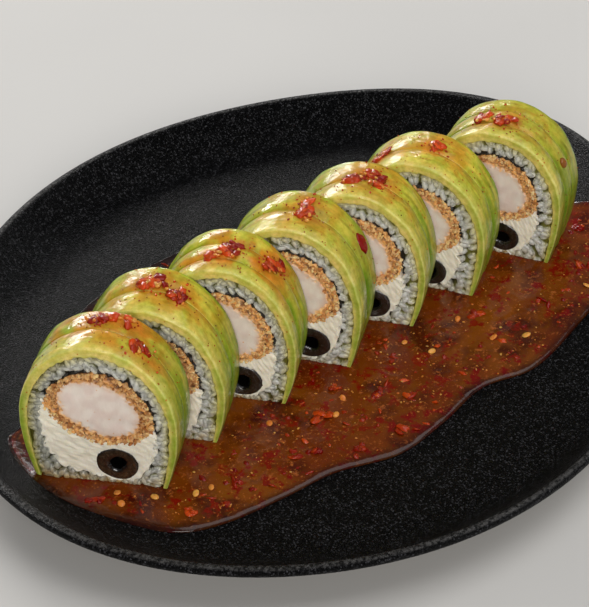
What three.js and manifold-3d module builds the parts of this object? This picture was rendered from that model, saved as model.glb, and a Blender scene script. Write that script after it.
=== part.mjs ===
// A row of seven cut rolls in chilli sauce on an oval stoneware plate.
// Each roll has rice round nori, cream cheese, crumbed chicken and an olive ring, under avocado slices.
// Millimetres, +Z up, origin on the table under the middle of the plate.
import * as THREE from "three";
import { mergeVertices } from "three/addons/utils/BufferGeometryUtils.js";
import Module from "manifold-3d";

const wasm = await Module();
wasm.setup();

// Clearance between neighbouring pieces
const GAP = 0.3;

// Plate: a slightly wavy oval, given by its rim crest
const RIM_HALF_LENGTH = 151.3;
const RIM_HALF_WIDTH = 123.4;
const RIM_WAVES = [
  { turns: 3, cos: 0.015, sin: -0.009 },
  { turns: 4, cos: 0.01, sin: -0.009 },
];
const RIM_OFFSET = { x: 2.3, y: 1 };
const WELL_Z = 6.8;
const WALL_START = 0.82;
const WALL_END = 0.98;
const WALL_RISE = 10.4;
const WALL_POWER = 2.2;
const WALL_STEPS = 4;
const LIP_RISE = 11.6;
const FOOT_RECESS = 1.8;
const PLATE_SIDES = 50;

// Sauce: level above the well, and the edge of the pool seen from above
const SAUCE_LEVEL = 1.2;
const SAUCE_BEVEL = 0.7;
const SAUCE_EDGE_STEPS = 64;
const SAUCE_EDGE = [
  [-131, 10], [-127, -14], [-115, -27], [-95, -38], [-76, -47], [-57, -62], [-35, -68], [-11, -72],
  [9, -84], [43, -88], [79, -90], [107, -78], [113, -58], [95, -16], [65, 22], [33, 52], [7, 66],
  [-34, 77], [-72, 70], [-103, 60], [-115, 58], [-125, 46], [-131, 28],
];
const SAUCE_CLEAR_OF_CUT_FACES = 1;
const FLAKE_SIZE = { length: 5, width: 3, height: 1 };
const SEED_SIZE = { length: 3.2, width: 2.4, height: 1 };
const SAUCE_FLAKES = [
  [-97, -21], [-118, -15], [-127, 16], [-70, -36], [-75, -31], [-61, -49], [-53, -29], [-46, -56],
  [-33, -42], [-36, -26], [-29, -51], [24, -54], [45, -72], [96, -64], [73, -76], [-26, 64],
];
const SAUCE_SEEDS = [
  [-65, -16], [-50, -34], [-41, -32], [-2, -37], [-2, -48], [16, -64], [23, -74], [-103, -15],
  [-108, -12], [-120, 11], [-124, 7], [-116, -1], [20, -48], [62, -82], [-56, 60],
];

// Rolls: where the middle of the near cut face stands, and how wide, high and long each one is.
// shoulder is the height of the widest place, foot the width on the plate.
const ROLLS = [
  { x: -118, y: 18.5, turn: -71.5, width: 53.6, height: 57.2, shoulder: 24.6, foot: 44.5, length: 21.2,
    rear_rise: 0, slices: 2, olive: 5.8, tilt: -16 },
  { x: -89.6, y: 17, turn: -73, width: 53.7, height: 53.9, shoulder: 19.6, foot: 46.5, length: 23.3,
    rear_rise: 2, slices: 2, olive: 7, tilt: -14 },
  { x: -60.4, y: 5.4, turn: -72, width: 53, height: 56, shoulder: 20.1, foot: 44.5, length: 24.3,
    rear_rise: 1, slices: 3, olive: 7.4, tilt: -18 },
  { x: -30.4, y: -4, turn: -76, width: 54.1, height: 57.4, shoulder: 22.6, foot: 46.5, length: 25.4,
    rear_rise: 0, slices: 2, olive: 8.8, tilt: -15 },
  { x: 1.5, y: -13.6, turn: -74.7, width: 54.2, height: 55.6, shoulder: 20.6, foot: 45.5, length: 23.5,
    rear_rise: 0, slices: 2, olive: 7.4, tilt: -19 },
  { x: 31, y: -23.5, turn: -80.5, width: 55, height: 54.7, shoulder: 22.6, foot: 47.5, length: 24.4,
    rear_rise: 0, slices: 2, olive: 6.6, tilt: -15 },
  { x: 64.8, y: -40, turn: -83, width: 53.9, height: 53.9, shoulder: 23.1, foot: 47, length: 26.8,
    rear_rise: 0, slices: 3, olive: 5, tilt: -17 },
];

// Avocado: thickness over the top, at the sides and at the feet
const AVOCADO = { top: 3.6, side: 3.0, foot: 1.5 };
const SLICE_SLANT = 2.6;
const SLICE_GROOVE = 0.8;
const SLICE_STEPS = 14;
const SLICE_FACET_SAG = 0.6;
const SIDE_SHARE = 0.3;

// Chilli flakes on the avocado: roll number, share along the arch from right to left, share of the length
const TOP_FLAKES = [
  { roll: 1, arch: 0.51, along: 0.78 }, { roll: 1, arch: 0.38, along: 0.34 },
  { roll: 2, arch: 0.51, along: 0.67 }, { roll: 2, arch: 0.42, along: 0.67 },
  { roll: 3, arch: 0.49, along: 0.5 }, { roll: 3, arch: 0.36, along: 0.53 },
  { roll: 4, arch: 0.48, along: 0.68 }, { roll: 4, arch: 0.28, along: 0.76 },
  { roll: 5, arch: 0.48, along: 0.68 }, { roll: 5, arch: 0.5, along: 0.33 },
  { roll: 6, arch: 0.47, along: 0.66 }, { roll: 6, arch: 0.64, along: 0.36 },
  { roll: 7, arch: 0.5, along: 0.48 }, { roll: 7, arch: 0.27, along: 0.5 },
];

// Filling: the rounded loop of nori, given by its outside, with a bulge over the olive
const FILL = {
  z: 26, half_width: 19.5, up: 21.4, down: 21.5, power_up: 2, power_down: 3, bulge: 2.4, spread: 0.4,
};
const FILL_MODEL_HEIGHT = 57;
const NORI_THICKNESS = 0.8;
const RING_SIDES = 36;
const RICE_BUMP = 1.2;

// Chicken, olive and cheese inside the nori
const CHICKEN = { x: 0.4, z: 32.4, half_width: 18.8, half_height: 14, crag: 0.9, sides: 20 };
const MEAT_SHARE = 0.7;
const OLIVE = { z: 9.6, half_width: 7.2, half_height: 6.6, hole: 0.34, sides: 12 };
const CHEESE_SIDES = 24;
const CHEESE_TOP_BELOW_CHICKEN_MIDDLE = 4;
const CUTTER_REACH = 80;

const COLOURS = {
  plate: { color: "#17181a", roughness: 0.62 },
  sauce: { color: "#8a3f12", roughness: 0.12 },
  rice: { color: "#d9dbd2", roughness: 0.45 },
  nori: { color: "#101510", roughness: 0.5 },
  cheese: { color: "#e9e6d8", roughness: 0.4 },
  chicken: { color: "#c98f4c", roughness: 0.7 },
  olive: { color: "#2b2018", roughness: 0.3 },
  avocado: { color: "#b7b23c", roughness: 0.25 },
};

// Repeatable draws between 0 and 1
function seededDraw(seed) {
  let state = seed >>> 0;
  return () => {
    state = (state + 0x6d2b79f5) >>> 0;
    let t = Math.imul(state ^ (state >>> 15), state | 1);
    t ^= t + Math.imul(t ^ (t >>> 7), t | 61);
    return ((t ^ (t >>> 14)) >>> 0) / 4294967296;
  };
}

// Geometry with shared corners and its faces pointing out
function weld(geometry) {
  const bare = geometry.clone();
  bare.deleteAttribute("normal");
  bare.deleteAttribute("uv");
  const welded = mergeVertices(bare, 1e-3);
  const index = Array.from(welded.index.array);
  const kept = [];
  for (let i = 0; i < index.length; i += 3) {
    const [a, b, c] = index.slice(i, i + 3);
    if (a !== b && b !== c && c !== a) kept.push(a, b, c);
  }
  if (signedVolume(welded.attributes.position, kept) < 0) kept.reverse();
  welded.setIndex(kept);
  return welded;
}

function signedVolume(position, index) {
  const corners = [new THREE.Vector3(), new THREE.Vector3(), new THREE.Vector3()];
  let volume = 0;
  for (let i = 0; i < index.length; i += 3) {
    corners.forEach((corner, k) => corner.fromBufferAttribute(position, index[i + k]));
    volume += corners[0].dot(corners[1].clone().cross(corners[2])) / 6;
  }
  return volume;
}

function toSolid(geometry) {
  const welded = weld(geometry);
  const mesh = new wasm.Mesh({
    numProp: 3,
    vertProperties: new Float32Array(welded.attributes.position.array),
    triVerts: new Uint32Array(welded.index.array),
  });
  return new wasm.Manifold(mesh);
}

function toGeometry(solid) {
  const mesh = solid.getMesh();
  const geometry = new THREE.BufferGeometry();
  geometry.setAttribute("position", new THREE.BufferAttribute(new Float32Array(mesh.vertProperties), 3));
  geometry.setIndex(Array.from(mesh.triVerts));
  return geometry;
}

function namedMesh(name, look, geometry) {
  const material = new THREE.MeshStandardMaterial({ ...COLOURS[look], metalness: 0, flatShading: true });
  const mesh = new THREE.Mesh(weld(geometry), material);
  mesh.geometry.computeVertexNormals();
  mesh.name = name;
  return mesh;
}

// Moves every corner of a geometry to where place(x, y, z) says
function warp(geometry, place) {
  const position = geometry.attributes.position;
  for (let i = 0; i < position.count; i += 1) {
    position.setXYZ(i, ...place(position.getX(i), position.getY(i), position.getZ(i)));
  }
  return geometry;
}

// A turned profile of [radius, height] points, with place(angle, radius, height) giving each corner
function turned(profile, sides, place) {
  const points = profile.map(([radius, height]) => new THREE.Vector2(radius, height));
  return warp(new THREE.LatheGeometry(points, sides), (x, y, z) => {
    const radius = Math.hypot(x, z);
    const side = radius < 1e-6 ? 0 : Math.round((Math.atan2(x, z) / (2 * Math.PI)) * sides + sides) % sides;
    return place((2 * Math.PI * side) / sides, radius, y);
  });
}

// Plate
function rimWave(angle) {
  const wave = ({ turns, cos, sin }) => cos * Math.cos(turns * angle) + sin * Math.sin(turns * angle);
  return RIM_WAVES.reduce((sum, each) => sum + wave(each), 1);
}

function platePoint(angle, share) {
  const reach = share * rimWave(angle);
  return [
    reach * RIM_HALF_LENGTH * Math.cos(angle) - RIM_OFFSET.x,
    reach * RIM_HALF_WIDTH * Math.sin(angle) - RIM_OFFSET.y,
  ];
}

function wallHeight(share) {
  const up = Math.max(0, (share - WALL_START) / (WALL_END - WALL_START));
  return WELL_Z + WALL_RISE * up ** WALL_POWER;
}

function plateHeight(x, y) {
  const across = (x + RIM_OFFSET.x) / RIM_HALF_LENGTH;
  const along = (y + RIM_OFFSET.y) / RIM_HALF_WIDTH;
  return wallHeight(Math.hypot(across, along) / rimWave(Math.atan2(along, across)));
}

function plateWall(raise) {
  const wall = [];
  for (let i = 0; i <= WALL_STEPS; i += 1) {
    const share = WALL_START + ((WALL_END - WALL_START) * i) / WALL_STEPS;
    wall.push([share, wallHeight(share) + raise]);
  }
  return wall;
}

function plateGeometry() {
  const under = [
    [0, FOOT_RECESS], [0.57, FOOT_RECESS], [0.585, 0], [0.635, 0], [0.66, 1.9], [0.8, 2.9], [0.92, 6.6],
  ];
  const crest = WELL_Z + LIP_RISE;
  const lip = [
    [0.985, crest - 5], [1.008, crest - 2.6], [1.009, crest - 1], [1, crest], [0.988, crest - 0.2],
  ];
  const inside = plateWall(0).reverse().concat([[0.45, WELL_Z], [0, WELL_Z]]);
  const profile = under.concat(lip, inside);
  return turned(profile, PLATE_SIDES, (angle, share, z) => [...platePoint(angle, share), z]);
}

// The plate's upper side lifted by the clearance, as a block that cuts what stands on it
function plateCutter() {
  const top = plateWall(GAP).reverse().concat([[0, WELL_Z + GAP]]);
  const block = [[0, 0], [1.1, 0], [1.1, WELL_Z + WALL_RISE + 4]].concat(top);
  return toSolid(turned(block, PLATE_SIDES, (angle, share, z) => [...platePoint(angle, share), z]));
}

// Rolls
function rollPlacement(roll) {
  const group = new THREE.Group();
  group.position.set(roll.x, roll.y, WELL_Z);
  group.rotation.z = THREE.MathUtils.degToRad(roll.turn);
  group.updateMatrixWorld();
  return group;
}

// Lowest a roll may reach at a place in its own frame
function floorUnder(roll, x, y) {
  const at = new THREE.Vector3(x, y, 0).applyMatrix4(roll.group.matrixWorld);
  return plateHeight(at.x, at.y) - WELL_Z + GAP;
}

function stand(roll, [x, y, z]) {
  return [x, y, Math.max(z, floorUnder(roll, x, y))];
}

// Arch over a roll at a distance y from its near face, set in by a share of the avocado plus a clearance
function archOf(roll, y, inset, clear = 0) {
  const rear = roll.rear_rise * (y / roll.length);
  return {
    half: roll.width / 2 - AVOCADO.side * inset - clear,
    shoulder: roll.shoulder,
    rise: roll.height + rear - roll.shoulder - AVOCADO.top * inset - clear,
    foot: roll.foot / 2 - AVOCADO.foot * inset - clear,
  };
}

function archHalfWidth(arch, z) {
  if (z < arch.shoulder) {
    const bulge = Math.sin((Math.max(0, z) / arch.shoulder) * (Math.PI / 2));
    return arch.foot + (arch.half - arch.foot) * bulge;
  }
  const up = (z - arch.shoulder) / arch.rise;
  return arch.half * Math.sqrt(Math.max(0, 1 - up * up));
}

// Point on an arch, from the right foot at share 0 over the top to the left foot at share 1
function archPoint(arch, share) {
  const side = share < 0.5 ? 1 : -1;
  const up = 1 - Math.abs(2 * share - 1);
  if (up < SIDE_SHARE) {
    const z = (arch.shoulder * up) / SIDE_SHARE;
    return [side * archHalfWidth(arch, z), z];
  }
  const angle = ((up - SIDE_SHARE) / (1 - SIDE_SHARE)) * (Math.PI / 2);
  return [side * arch.half * Math.cos(angle), arch.shoulder + arch.rise * Math.sin(angle)];
}

function fillCentre(roll) {
  return (FILL.z * roll.height) / FILL_MODEL_HEIGHT;
}

// Distance from the middle of the filling to the outside of the nori
function noriReach(roll, angle) {
  const across = Math.abs(Math.cos(angle)) / FILL.half_width;
  const high = Math.sin(angle) > 0;
  const upright = Math.abs(Math.sin(angle)) / (high ? FILL.up : FILL.down);
  const power = high ? FILL.power_up : FILL.power_down;
  const loop = (across ** power + upright ** power) ** (-1 / power);
  const toOlive = Math.atan2(OLIVE.z - FILL.z, roll.olive);
  const off = Math.atan2(Math.sin(angle - toOlive), Math.cos(angle - toOlive));
  return (loop + FILL.bulge * Math.exp(-((off / FILL.spread) ** 2))) * (roll.height / FILL_MODEL_HEIGHT);
}

function noriPoint(roll, angle, inset, y) {
  const reach = noriReach(roll, angle) - inset;
  return [reach * Math.cos(angle), y, fillCentre(roll) + reach * Math.sin(angle)];
}

// Distance from the middle of the filling to the outside of the rice
function riceReach(roll, angle, y) {
  const arch = archOf(roll, y, 1, GAP + SLICE_FACET_SAG);
  let near = 0;
  let far = roll.width;
  for (let halving = 0; halving < 40; halving += 1) {
    const middle = (near + far) / 2;
    const z = fillCentre(roll) + middle * Math.sin(angle);
    const inside = z > 0 && Math.abs(middle * Math.cos(angle)) < archHalfWidth(arch, z);
    if (inside) near = middle;
    else far = middle;
  }
  return near;
}

function riceGeometry(roll, draw) {
  const profile = [[1, 0], [1.5, 0], [2, 0], [2, 1], [1.5, 1], [1, 1], [1, 0]];
  const bumps = Array.from({ length: RING_SIDES * 6 }, draw);
  return turned(profile, RING_SIDES, (angle, radius, height) => {
    const side = Math.round((angle / (2 * Math.PI)) * RING_SIDES);
    const corner = side * 6 + Math.round(radius * 2 - 2) * 2 + height;
    const bump = RICE_BUMP * bumps[corner];
    const y = height === 0 ? bump : roll.length - bump;
    const inner = noriReach(roll, angle) + GAP;
    const reach = inner + (riceReach(roll, angle, y) - inner) * (radius - 1);
    return stand(roll, [reach * Math.cos(angle), y, fillCentre(roll) + reach * Math.sin(angle)]);
  });
}

function noriGeometry(roll) {
  const profile = [[1, 0], [2, 0], [2, 1], [1, 1], [1, 0]];
  return turned(profile, RING_SIDES, (angle, radius, height) => (
    noriPoint(roll, angle, NORI_THICKNESS * (2 - radius), roll.length * height)
  ));
}

// Keeps a point of the filling inside the nori
function insideNori(roll, [x, y, z], clear) {
  const up = z - fillCentre(roll);
  const limit = noriReach(roll, Math.atan2(up, x)) - NORI_THICKNESS - clear;
  const pull = Math.min(1, limit / Math.max(1e-6, Math.hypot(x, up)));
  return [x * pull, y, fillCentre(roll) + up * pull];
}

function chickenPoint(roll, angle, share, y, grow) {
  const scale = roll.height / FILL_MODEL_HEIGHT;
  const tilt = THREE.MathUtils.degToRad(roll.tilt);
  const across = share * (CHICKEN.half_width * scale + grow) * Math.cos(angle);
  const up = share * (CHICKEN.half_height * scale + grow) * Math.sin(angle);
  return [
    CHICKEN.x + across * Math.cos(tilt) - up * Math.sin(tilt),
    y,
    CHICKEN.z * scale + across * Math.sin(tilt) + up * Math.cos(tilt),
  ];
}

// Crumbed chicken: a smooth middle at the cut faces and a craggy crust round it
function chickenGeometry(roll, draw) {
  const profile = [[0, 0], [MEAT_SHARE, 0], [1, 0], [1, 0.5], [1, 1], [MEAT_SHARE, 1], [0, 1]];
  const crags = Array.from({ length: CHICKEN.sides * 6 }, draw);
  return turned(profile, CHICKEN.sides, (angle, radius, height) => {
    const side = Math.round((angle / (2 * Math.PI)) * CHICKEN.sides);
    const crag = radius < 1 ? 0.2 : crags[side * 6 + Math.round(height * 2)];
    const dent = radius < 1 ? 0.3 : CHICKEN.crag * crags[side * 6 + 3 + Math.round(height)];
    const y = height === 0 ? dent : roll.length * height - (height === 1 ? dent : 0);
    return insideNori(roll, chickenPoint(roll, angle, radius, y, -CHICKEN.crag * crag), GAP);
  });
}

function oliveGeometry(roll) {
  const scale = roll.height / FILL_MODEL_HEIGHT;
  const profile = [[OLIVE.hole, 0], [1, 0], [1, 1], [OLIVE.hole, 1], [OLIVE.hole, 0]];
  return turned(profile, OLIVE.sides, (angle, radius, height) => insideNori(roll, [
    roll.olive + radius * OLIVE.half_width * scale * Math.cos(angle),
    roll.length * height,
    OLIVE.z * scale + radius * OLIVE.half_height * scale * Math.sin(angle),
  ], GAP));
}

// Blocks past both cut faces that clear the cheese for the chicken, the olive and the room above
function cheeseCutters(roll) {
  const scale = roll.height / FILL_MODEL_HEIGHT;
  const through = [[0, -1], [1, -1], [1, roll.length + 1], [0, roll.length + 1]];
  const chicken = turned(through, CHICKEN.sides, (angle, radius, y) => (
    chickenPoint(roll, angle, radius, y, 2 * GAP)
  ));
  const olive = turned(through, OLIVE.sides, (angle, radius, y) => [
    roll.olive + radius * (OLIVE.half_width * scale + 2 * GAP) * Math.cos(angle),
    y,
    OLIVE.z * scale + radius * (OLIVE.half_height * scale + 2 * GAP) * Math.sin(angle),
  ]);
  const above = new THREE.BoxGeometry(CUTTER_REACH, CUTTER_REACH, CUTTER_REACH);
  above.rotateY(-THREE.MathUtils.degToRad(roll.tilt));
  above.translate(CHICKEN.x, 0, CHICKEN.z * scale - CHEESE_TOP_BELOW_CHICKEN_MIDDLE + CUTTER_REACH / 2);
  return [chicken, olive, above];
}

function cheeseGeometry(roll) {
  const block = turned([[0, 0], [1, 0], [1, 1], [0, 1]], CHEESE_SIDES, (angle, radius, height) => {
    const reach = radius * (noriReach(roll, angle) - NORI_THICKNESS - GAP);
    return [reach * Math.cos(angle), roll.length * height, fillCentre(roll) + reach * Math.sin(angle)];
  });
  let cheese = toSolid(block);
  for (const cutter of cheeseCutters(roll)) cheese = cheese.subtract(toSolid(cutter));
  const bodies = cheese.decompose().sort((a, b) => b.volume() - a.volume());
  return toGeometry(bodies[0]);
}

// Seam between two slices of avocado: its distance from the near face
function seamAt(roll, number, share) {
  if (number === 0) return 0;
  if (number === roll.slices) return roll.length;
  return (roll.length * number) / roll.slices + SLICE_SLANT * (0.5 - share);
}

// One slice of avocado, with its seams a little lower than its middle
function sliceGeometry(roll, number) {
  const box = new THREE.BoxGeometry(1, 1, 1, SLICE_STEPS, 2, 1);
  const last = roll.slices - 1;
  return warp(box, (along, across, up) => {
    const share = along + 0.5;
    const near = seamAt(roll, number, share) + (number > 0 ? GAP / 2 : 0);
    const far = seamAt(roll, number + 1, share) - (number < last ? GAP / 2 : 0);
    const y = near + (far - near) * (across + 0.5);
    const seam = (across < 0 && number > 0) || (across > 0 && number < last);
    const inset = up < 0 ? 1 : 0;
    const groove = up > 0 && seam ? SLICE_GROOVE : 0;
    const [x, z] = archPoint(archOf(roll, y, inset, groove), share);
    return stand(roll, [x, y, z]);
  });
}

// A flat eight-sided chip, half sunk where it lies
function chipGeometry(size, turn) {
  const chip = new THREE.OctahedronGeometry(1, 0);
  chip.scale(size.length / 2, size.width / 2, size.height);
  chip.rotateZ(turn);
  return chip;
}

// A chilli flake lying on the outside of a roll's arch
function flakeOnArch(roll, flake, turn) {
  const y = flake.along * roll.length;
  const arch = archOf(roll, y, 0);
  const [x, z] = archPoint(arch, flake.arch);
  const [x_next, z_next] = archPoint(arch, flake.arch + 0.01);
  const chip = chipGeometry(FLAKE_SIZE, turn);
  chip.rotateY(Math.atan2(z_next - z, x - x_next));
  chip.translate(x, y, z);
  return toSolid(chip);
}

function slicesOf(roll, draw) {
  const flakes = TOP_FLAKES.filter((flake) => flake.roll === roll.number);
  return Array.from({ length: roll.slices }, (_, number) => {
    let slice = toSolid(sliceGeometry(roll, number));
    for (const flake of flakes) {
      const y = flake.along * roll.length;
      const mine = y > seamAt(roll, number, flake.arch) && y < seamAt(roll, number + 1, flake.arch);
      if (mine) slice = slice.add(flakeOnArch(roll, flake, draw() * Math.PI));
    }
    return namedMesh(`${roll.name}_avocado_${number + 1}`, "avocado", toGeometry(slice));
  });
}

// The roll's standing room, which the sauce keeps clear of
function rollFootprint(roll) {
  const half = archHalfWidth(archOf(roll, 0, 0), SAUCE_LEVEL) + 2 * GAP;
  const box = new THREE.BoxGeometry(2 * half, roll.length + 2 * SAUCE_CLEAR_OF_CUT_FACES, 4 * SAUCE_LEVEL);
  box.translate(0, roll.length / 2, 0);
  box.applyMatrix4(roll.group.matrixWorld);
  return toSolid(box);
}

// Sauce pool with rounded edges, cut round the rolls, with flakes and seeds on it
function sauceGeometry(rolls, draw) {
  const edge = new THREE.CatmullRomCurve3(SAUCE_EDGE.map(([x, y]) => new THREE.Vector3(x, y, 0)), true);
  const outline = new THREE.Shape(edge.getSpacedPoints(SAUCE_EDGE_STEPS).slice(0, -1));
  const pool = new THREE.ExtrudeGeometry(outline, {
    depth: 2 * SAUCE_LEVEL,
    bevelThickness: SAUCE_BEVEL,
    bevelSize: SAUCE_BEVEL,
    bevelOffset: -SAUCE_BEVEL,
    bevelSegments: 1,
    curveSegments: 1,
  });
  pool.translate(0, 0, WELL_Z - SAUCE_LEVEL - SAUCE_BEVEL);
  let sauce = toSolid(pool).subtract(plateCutter());
  for (const roll of rolls) sauce = sauce.subtract(rollFootprint(roll));
  const chips = SAUCE_FLAKES.map((at) => ({ at, size: FLAKE_SIZE }));
  chips.push(...SAUCE_SEEDS.map((at) => ({ at, size: SEED_SIZE })));
  for (const { at, size } of chips) {
    const chip = chipGeometry(size, draw() * Math.PI);
    chip.translate(at[0], at[1], WELL_Z + SAUCE_LEVEL);
    sauce = sauce.add(toSolid(chip));
  }
  const bodies = sauce.decompose().sort((a, b) => b.volume() - a.volume());
  return toGeometry(bodies[0]);
}

function rollGroup(roll) {
  const draw = seededDraw(100 + roll.number);
  roll.group.add(namedMesh(`${roll.name}_rice`, "rice", riceGeometry(roll, draw)));
  roll.group.add(namedMesh(`${roll.name}_nori`, "nori", noriGeometry(roll)));
  roll.group.add(namedMesh(`${roll.name}_cheese`, "cheese", cheeseGeometry(roll)));
  roll.group.add(namedMesh(`${roll.name}_chicken`, "chicken", chickenGeometry(roll, draw)));
  roll.group.add(namedMesh(`${roll.name}_olive`, "olive", oliveGeometry(roll)));
  roll.group.add(...slicesOf(roll, draw));
  return roll.group;
}

const rolls = ROLLS.map((roll, i) => ({ ...roll, number: i + 1, name: `roll_${i + 1}` }));
for (const roll of rolls) roll.group = rollPlacement(roll);

const dish = new THREE.Group();
dish.add(namedMesh("plate", "plate", plateGeometry()));
dish.add(namedMesh("sauce", "sauce", sauceGeometry(rolls, seededDraw(7))));
for (const roll of rolls) dish.add(rollGroup(roll));

export default dish;
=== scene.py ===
import math

import bpy
import numpy as np
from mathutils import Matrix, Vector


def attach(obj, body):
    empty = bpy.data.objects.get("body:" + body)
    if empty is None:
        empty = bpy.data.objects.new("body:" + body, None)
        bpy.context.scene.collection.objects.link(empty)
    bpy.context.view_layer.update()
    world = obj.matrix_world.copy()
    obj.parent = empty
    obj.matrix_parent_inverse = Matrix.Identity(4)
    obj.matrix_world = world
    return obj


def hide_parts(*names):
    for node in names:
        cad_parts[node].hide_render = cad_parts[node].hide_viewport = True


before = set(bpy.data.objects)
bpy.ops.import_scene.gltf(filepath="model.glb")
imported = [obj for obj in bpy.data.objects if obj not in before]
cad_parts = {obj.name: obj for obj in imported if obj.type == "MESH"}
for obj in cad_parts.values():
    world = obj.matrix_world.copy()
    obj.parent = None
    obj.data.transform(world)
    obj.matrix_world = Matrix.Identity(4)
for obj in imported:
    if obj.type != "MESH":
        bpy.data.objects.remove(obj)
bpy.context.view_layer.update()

# A row of seven cut rolls in chilli sauce on an oval stoneware plate.
# Lengths are millimetres in the part's frame until a mesh is made, which is in metres.
MM = 0.001
TAU = 2 * math.pi

# Camera: what it looks at, how far off, and from where
VIEW_TARGET = (-1.6, 8.4, 9.4)
VIEW_DISTANCE = 769
VIEW_AZIMUTH = -61.65
VIEW_ELEVATION = 36.65
FOCAL_PIXELS = 2080
PHOTO_HEIGHT = 607
SENSOR = 36
VIEW_END = 20000

# Stage, in metres: the floor, the sky, and each light's place, aim, size, power and colour
FLOOR_HALF = 3.0
SKY_COLOUR = (0.86, 0.9, 1.0, 1)
SKY_STRENGTH = 0.15
LIGHTS = {
    "back_left": ((1.1, 1.42, 0.62), (-0.02, 0.0, 0.03), (0.9, 0.34), 22, (1, 0.98, 0.95)),
    "front": ((-1.5, -0.9, 0.95), (0, 0, 0.03), (0.9, 0.9), 23, (1, 0.97, 0.93)),
    "overhead": ((0.3, -0.35, 1.25), (0, 0, 0), (1.2, 1.2), 9, (1, 1, 1)),
    "right_fill": ((0.3, -1.4, 0.35), (0, 0, 0.03), (1.0, 0.8), 1.2, (1, 0.98, 0.94)),
    "glint": ((1.28, 0.66, 0.52), (-0.12, 0.04, 0.01), (0.16, 0.1), 1.6, (1, 1, 1)),
}

# Plate: a slightly wavy oval, given by its rim crest
RIM_HALF_LENGTH = 151.3
RIM_HALF_WIDTH = 123.4
RIM_WAVES = ((3, 0.015, -0.009), (4, 0.01, -0.009))
RIM_OFFSET = (2.3, 1.0)
WELL_Z = 6.8
WALL_START = 0.82
WALL_END = 0.98
WALL_RISE = 10.4
WALL_POWER = 2.2
LIP_RISE = 11.6
FOOT_RECESS = 1.8
PLATE_SIDES = 320

# Sauce: level above the well, and the edge of the pool seen from above
SAUCE_LEVEL = 1.15
SAUCE_ROUNDING = 2.6
SAUCE_FEATHER = 26
SAUCE_CLIMB = 0.6
SAUCE_CLIMB_REACH = 0.9
SAUCE_CENTRE = (-15, -5)
SAUCE_SIDES = 420
SAUCE_EDGE_STEPS = (0, 0.08, 0.25, 0.5, 0.85, 1.3, 1.9, 2.6, 3.6)
SAUCE_EDGE = (
    (-131, 10), (-127, -14), (-115, -27), (-95, -38), (-76, -47), (-57, -62), (-35, -68), (-11, -72),
    (9, -84), (43, -88), (79, -90), (107, -78), (113, -58), (95, -16), (65, 22), (33, 52), (7, 66),
    (-34, 77), (-72, 70), (-103, 60), (-115, 58), (-125, 46), (-131, 28),
)
SAUCE_FLAKES = (
    (-97, -21), (-118, -15), (-127, 16), (-70, -36), (-75, -31), (-61, -49), (-53, -29), (-46, -56),
    (-33, -42), (-36, -26), (-29, -51), (24, -54), (45, -72), (96, -64), (73, -76), (-26, 64),
)
FLAKES_IN_CLUMP = 3
CLUMP_SPREAD = 1.3
SAUCE_SEEDS = (
    (-65, -16), (-50, -34), (-41, -32), (-2, -37), (-2, -48), (16, -64), (23, -74), (-103, -15),
    (-108, -12), (-120, 11), (-124, 7), (-116, -1), (20, -48), (62, -82), (-56, 60),
)
SMALL_FLAKES = 150
SMALL_SPECKS = 280
SPOT_REACH = 0.95
SPOT_FROM_ROLLS = 2.5
# Dark clouds, red pulp, orange and fine specks: size, detail, roughness, noise where none and all, colour
SAUCE_PATCHES = (
    (13, 3, 0.5, 0.48, 0.66, (66, 14, 1)),
    (5.5, 3, 0.6, 0.55, 0.64, (110, 10, 2)),
    (3.2, 4, 0.65, 0.6, 0.74, (160, 84, 36)),
    (1.2, 3, 0.6, 0.6, 0.74, (166, 92, 36)),
)

# Rolls: where the middle of the near cut face stands, and how wide, high and long each one is
ROLL_KEYS = (
    "x", "y", "turn", "width", "height", "shoulder", "foot", "length", "rear_rise", "slices", "olive", "tilt",
)
ROLLS = (
    (-118, 18.5, -71.5, 53.6, 57.2, 24.6, 44.5, 21.2, 0, 2, 5.8, -16),
    (-89.6, 17, -73, 53.7, 53.9, 19.6, 46.5, 23.3, 2, 2, 7, -14),
    (-60.4, 5.4, -72, 53, 56, 20.1, 44.5, 24.3, 1, 3, 7.4, -18),
    (-30.4, -4, -76, 54.1, 57.4, 22.6, 46.5, 25.4, 0, 2, 8.8, -15),
    (1.5, -13.6, -74.7, 54.2, 55.6, 20.6, 45.5, 23.5, 0, 2, 7.4, -19),
    (31, -23.5, -80.5, 55, 54.7, 22.6, 47.5, 24.4, 0, 2, 6.6, -15),
    (64.8, -40, -83, 53.9, 53.9, 23.1, 47, 26.8, 0, 3, 5, -17),
)
FOOT_GAP = 0.3

# Each roll's looks: fall of the avocado at its seams, glaze, and painted light: how much brighter or darker
# its avocado, rice and crust are painted to make up for how light falls on each roll
LOOK_KEYS = ("seam_fall", "glaze", "slice_shade", "rice_shade", "crust_pale")
ROLL_LOOKS = (
    (0.35, 1.05, 1.0, 1.14, 0.25),
    (0.8, 0.85, 1.06, 1.2, 0.5),
    (0.9, 1.15, 1.06, 1.2, 0.75),
    (0.85, 0.65, 0.98, 1.4, 0.9),
    (0.8, 0.7, 1.0, 1.5, 0.85),
    (0.75, 0.85, 1.06, 1.4, 0.8),
    (0.7, 0.65, 0.9, 1.5, 0.8),
)

# Avocado: thickness over the top, at the sides and at the feet
AVOCADO = {"top": 3.6, "side": 3.0, "foot": 1.5}
SLICE_SLANT = 2.6
EDGE_FALL = 0.4
SLICE_STEPS = 130
SIDE_SHARE = 0.3
ARCH_LENGTH = 120

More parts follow.
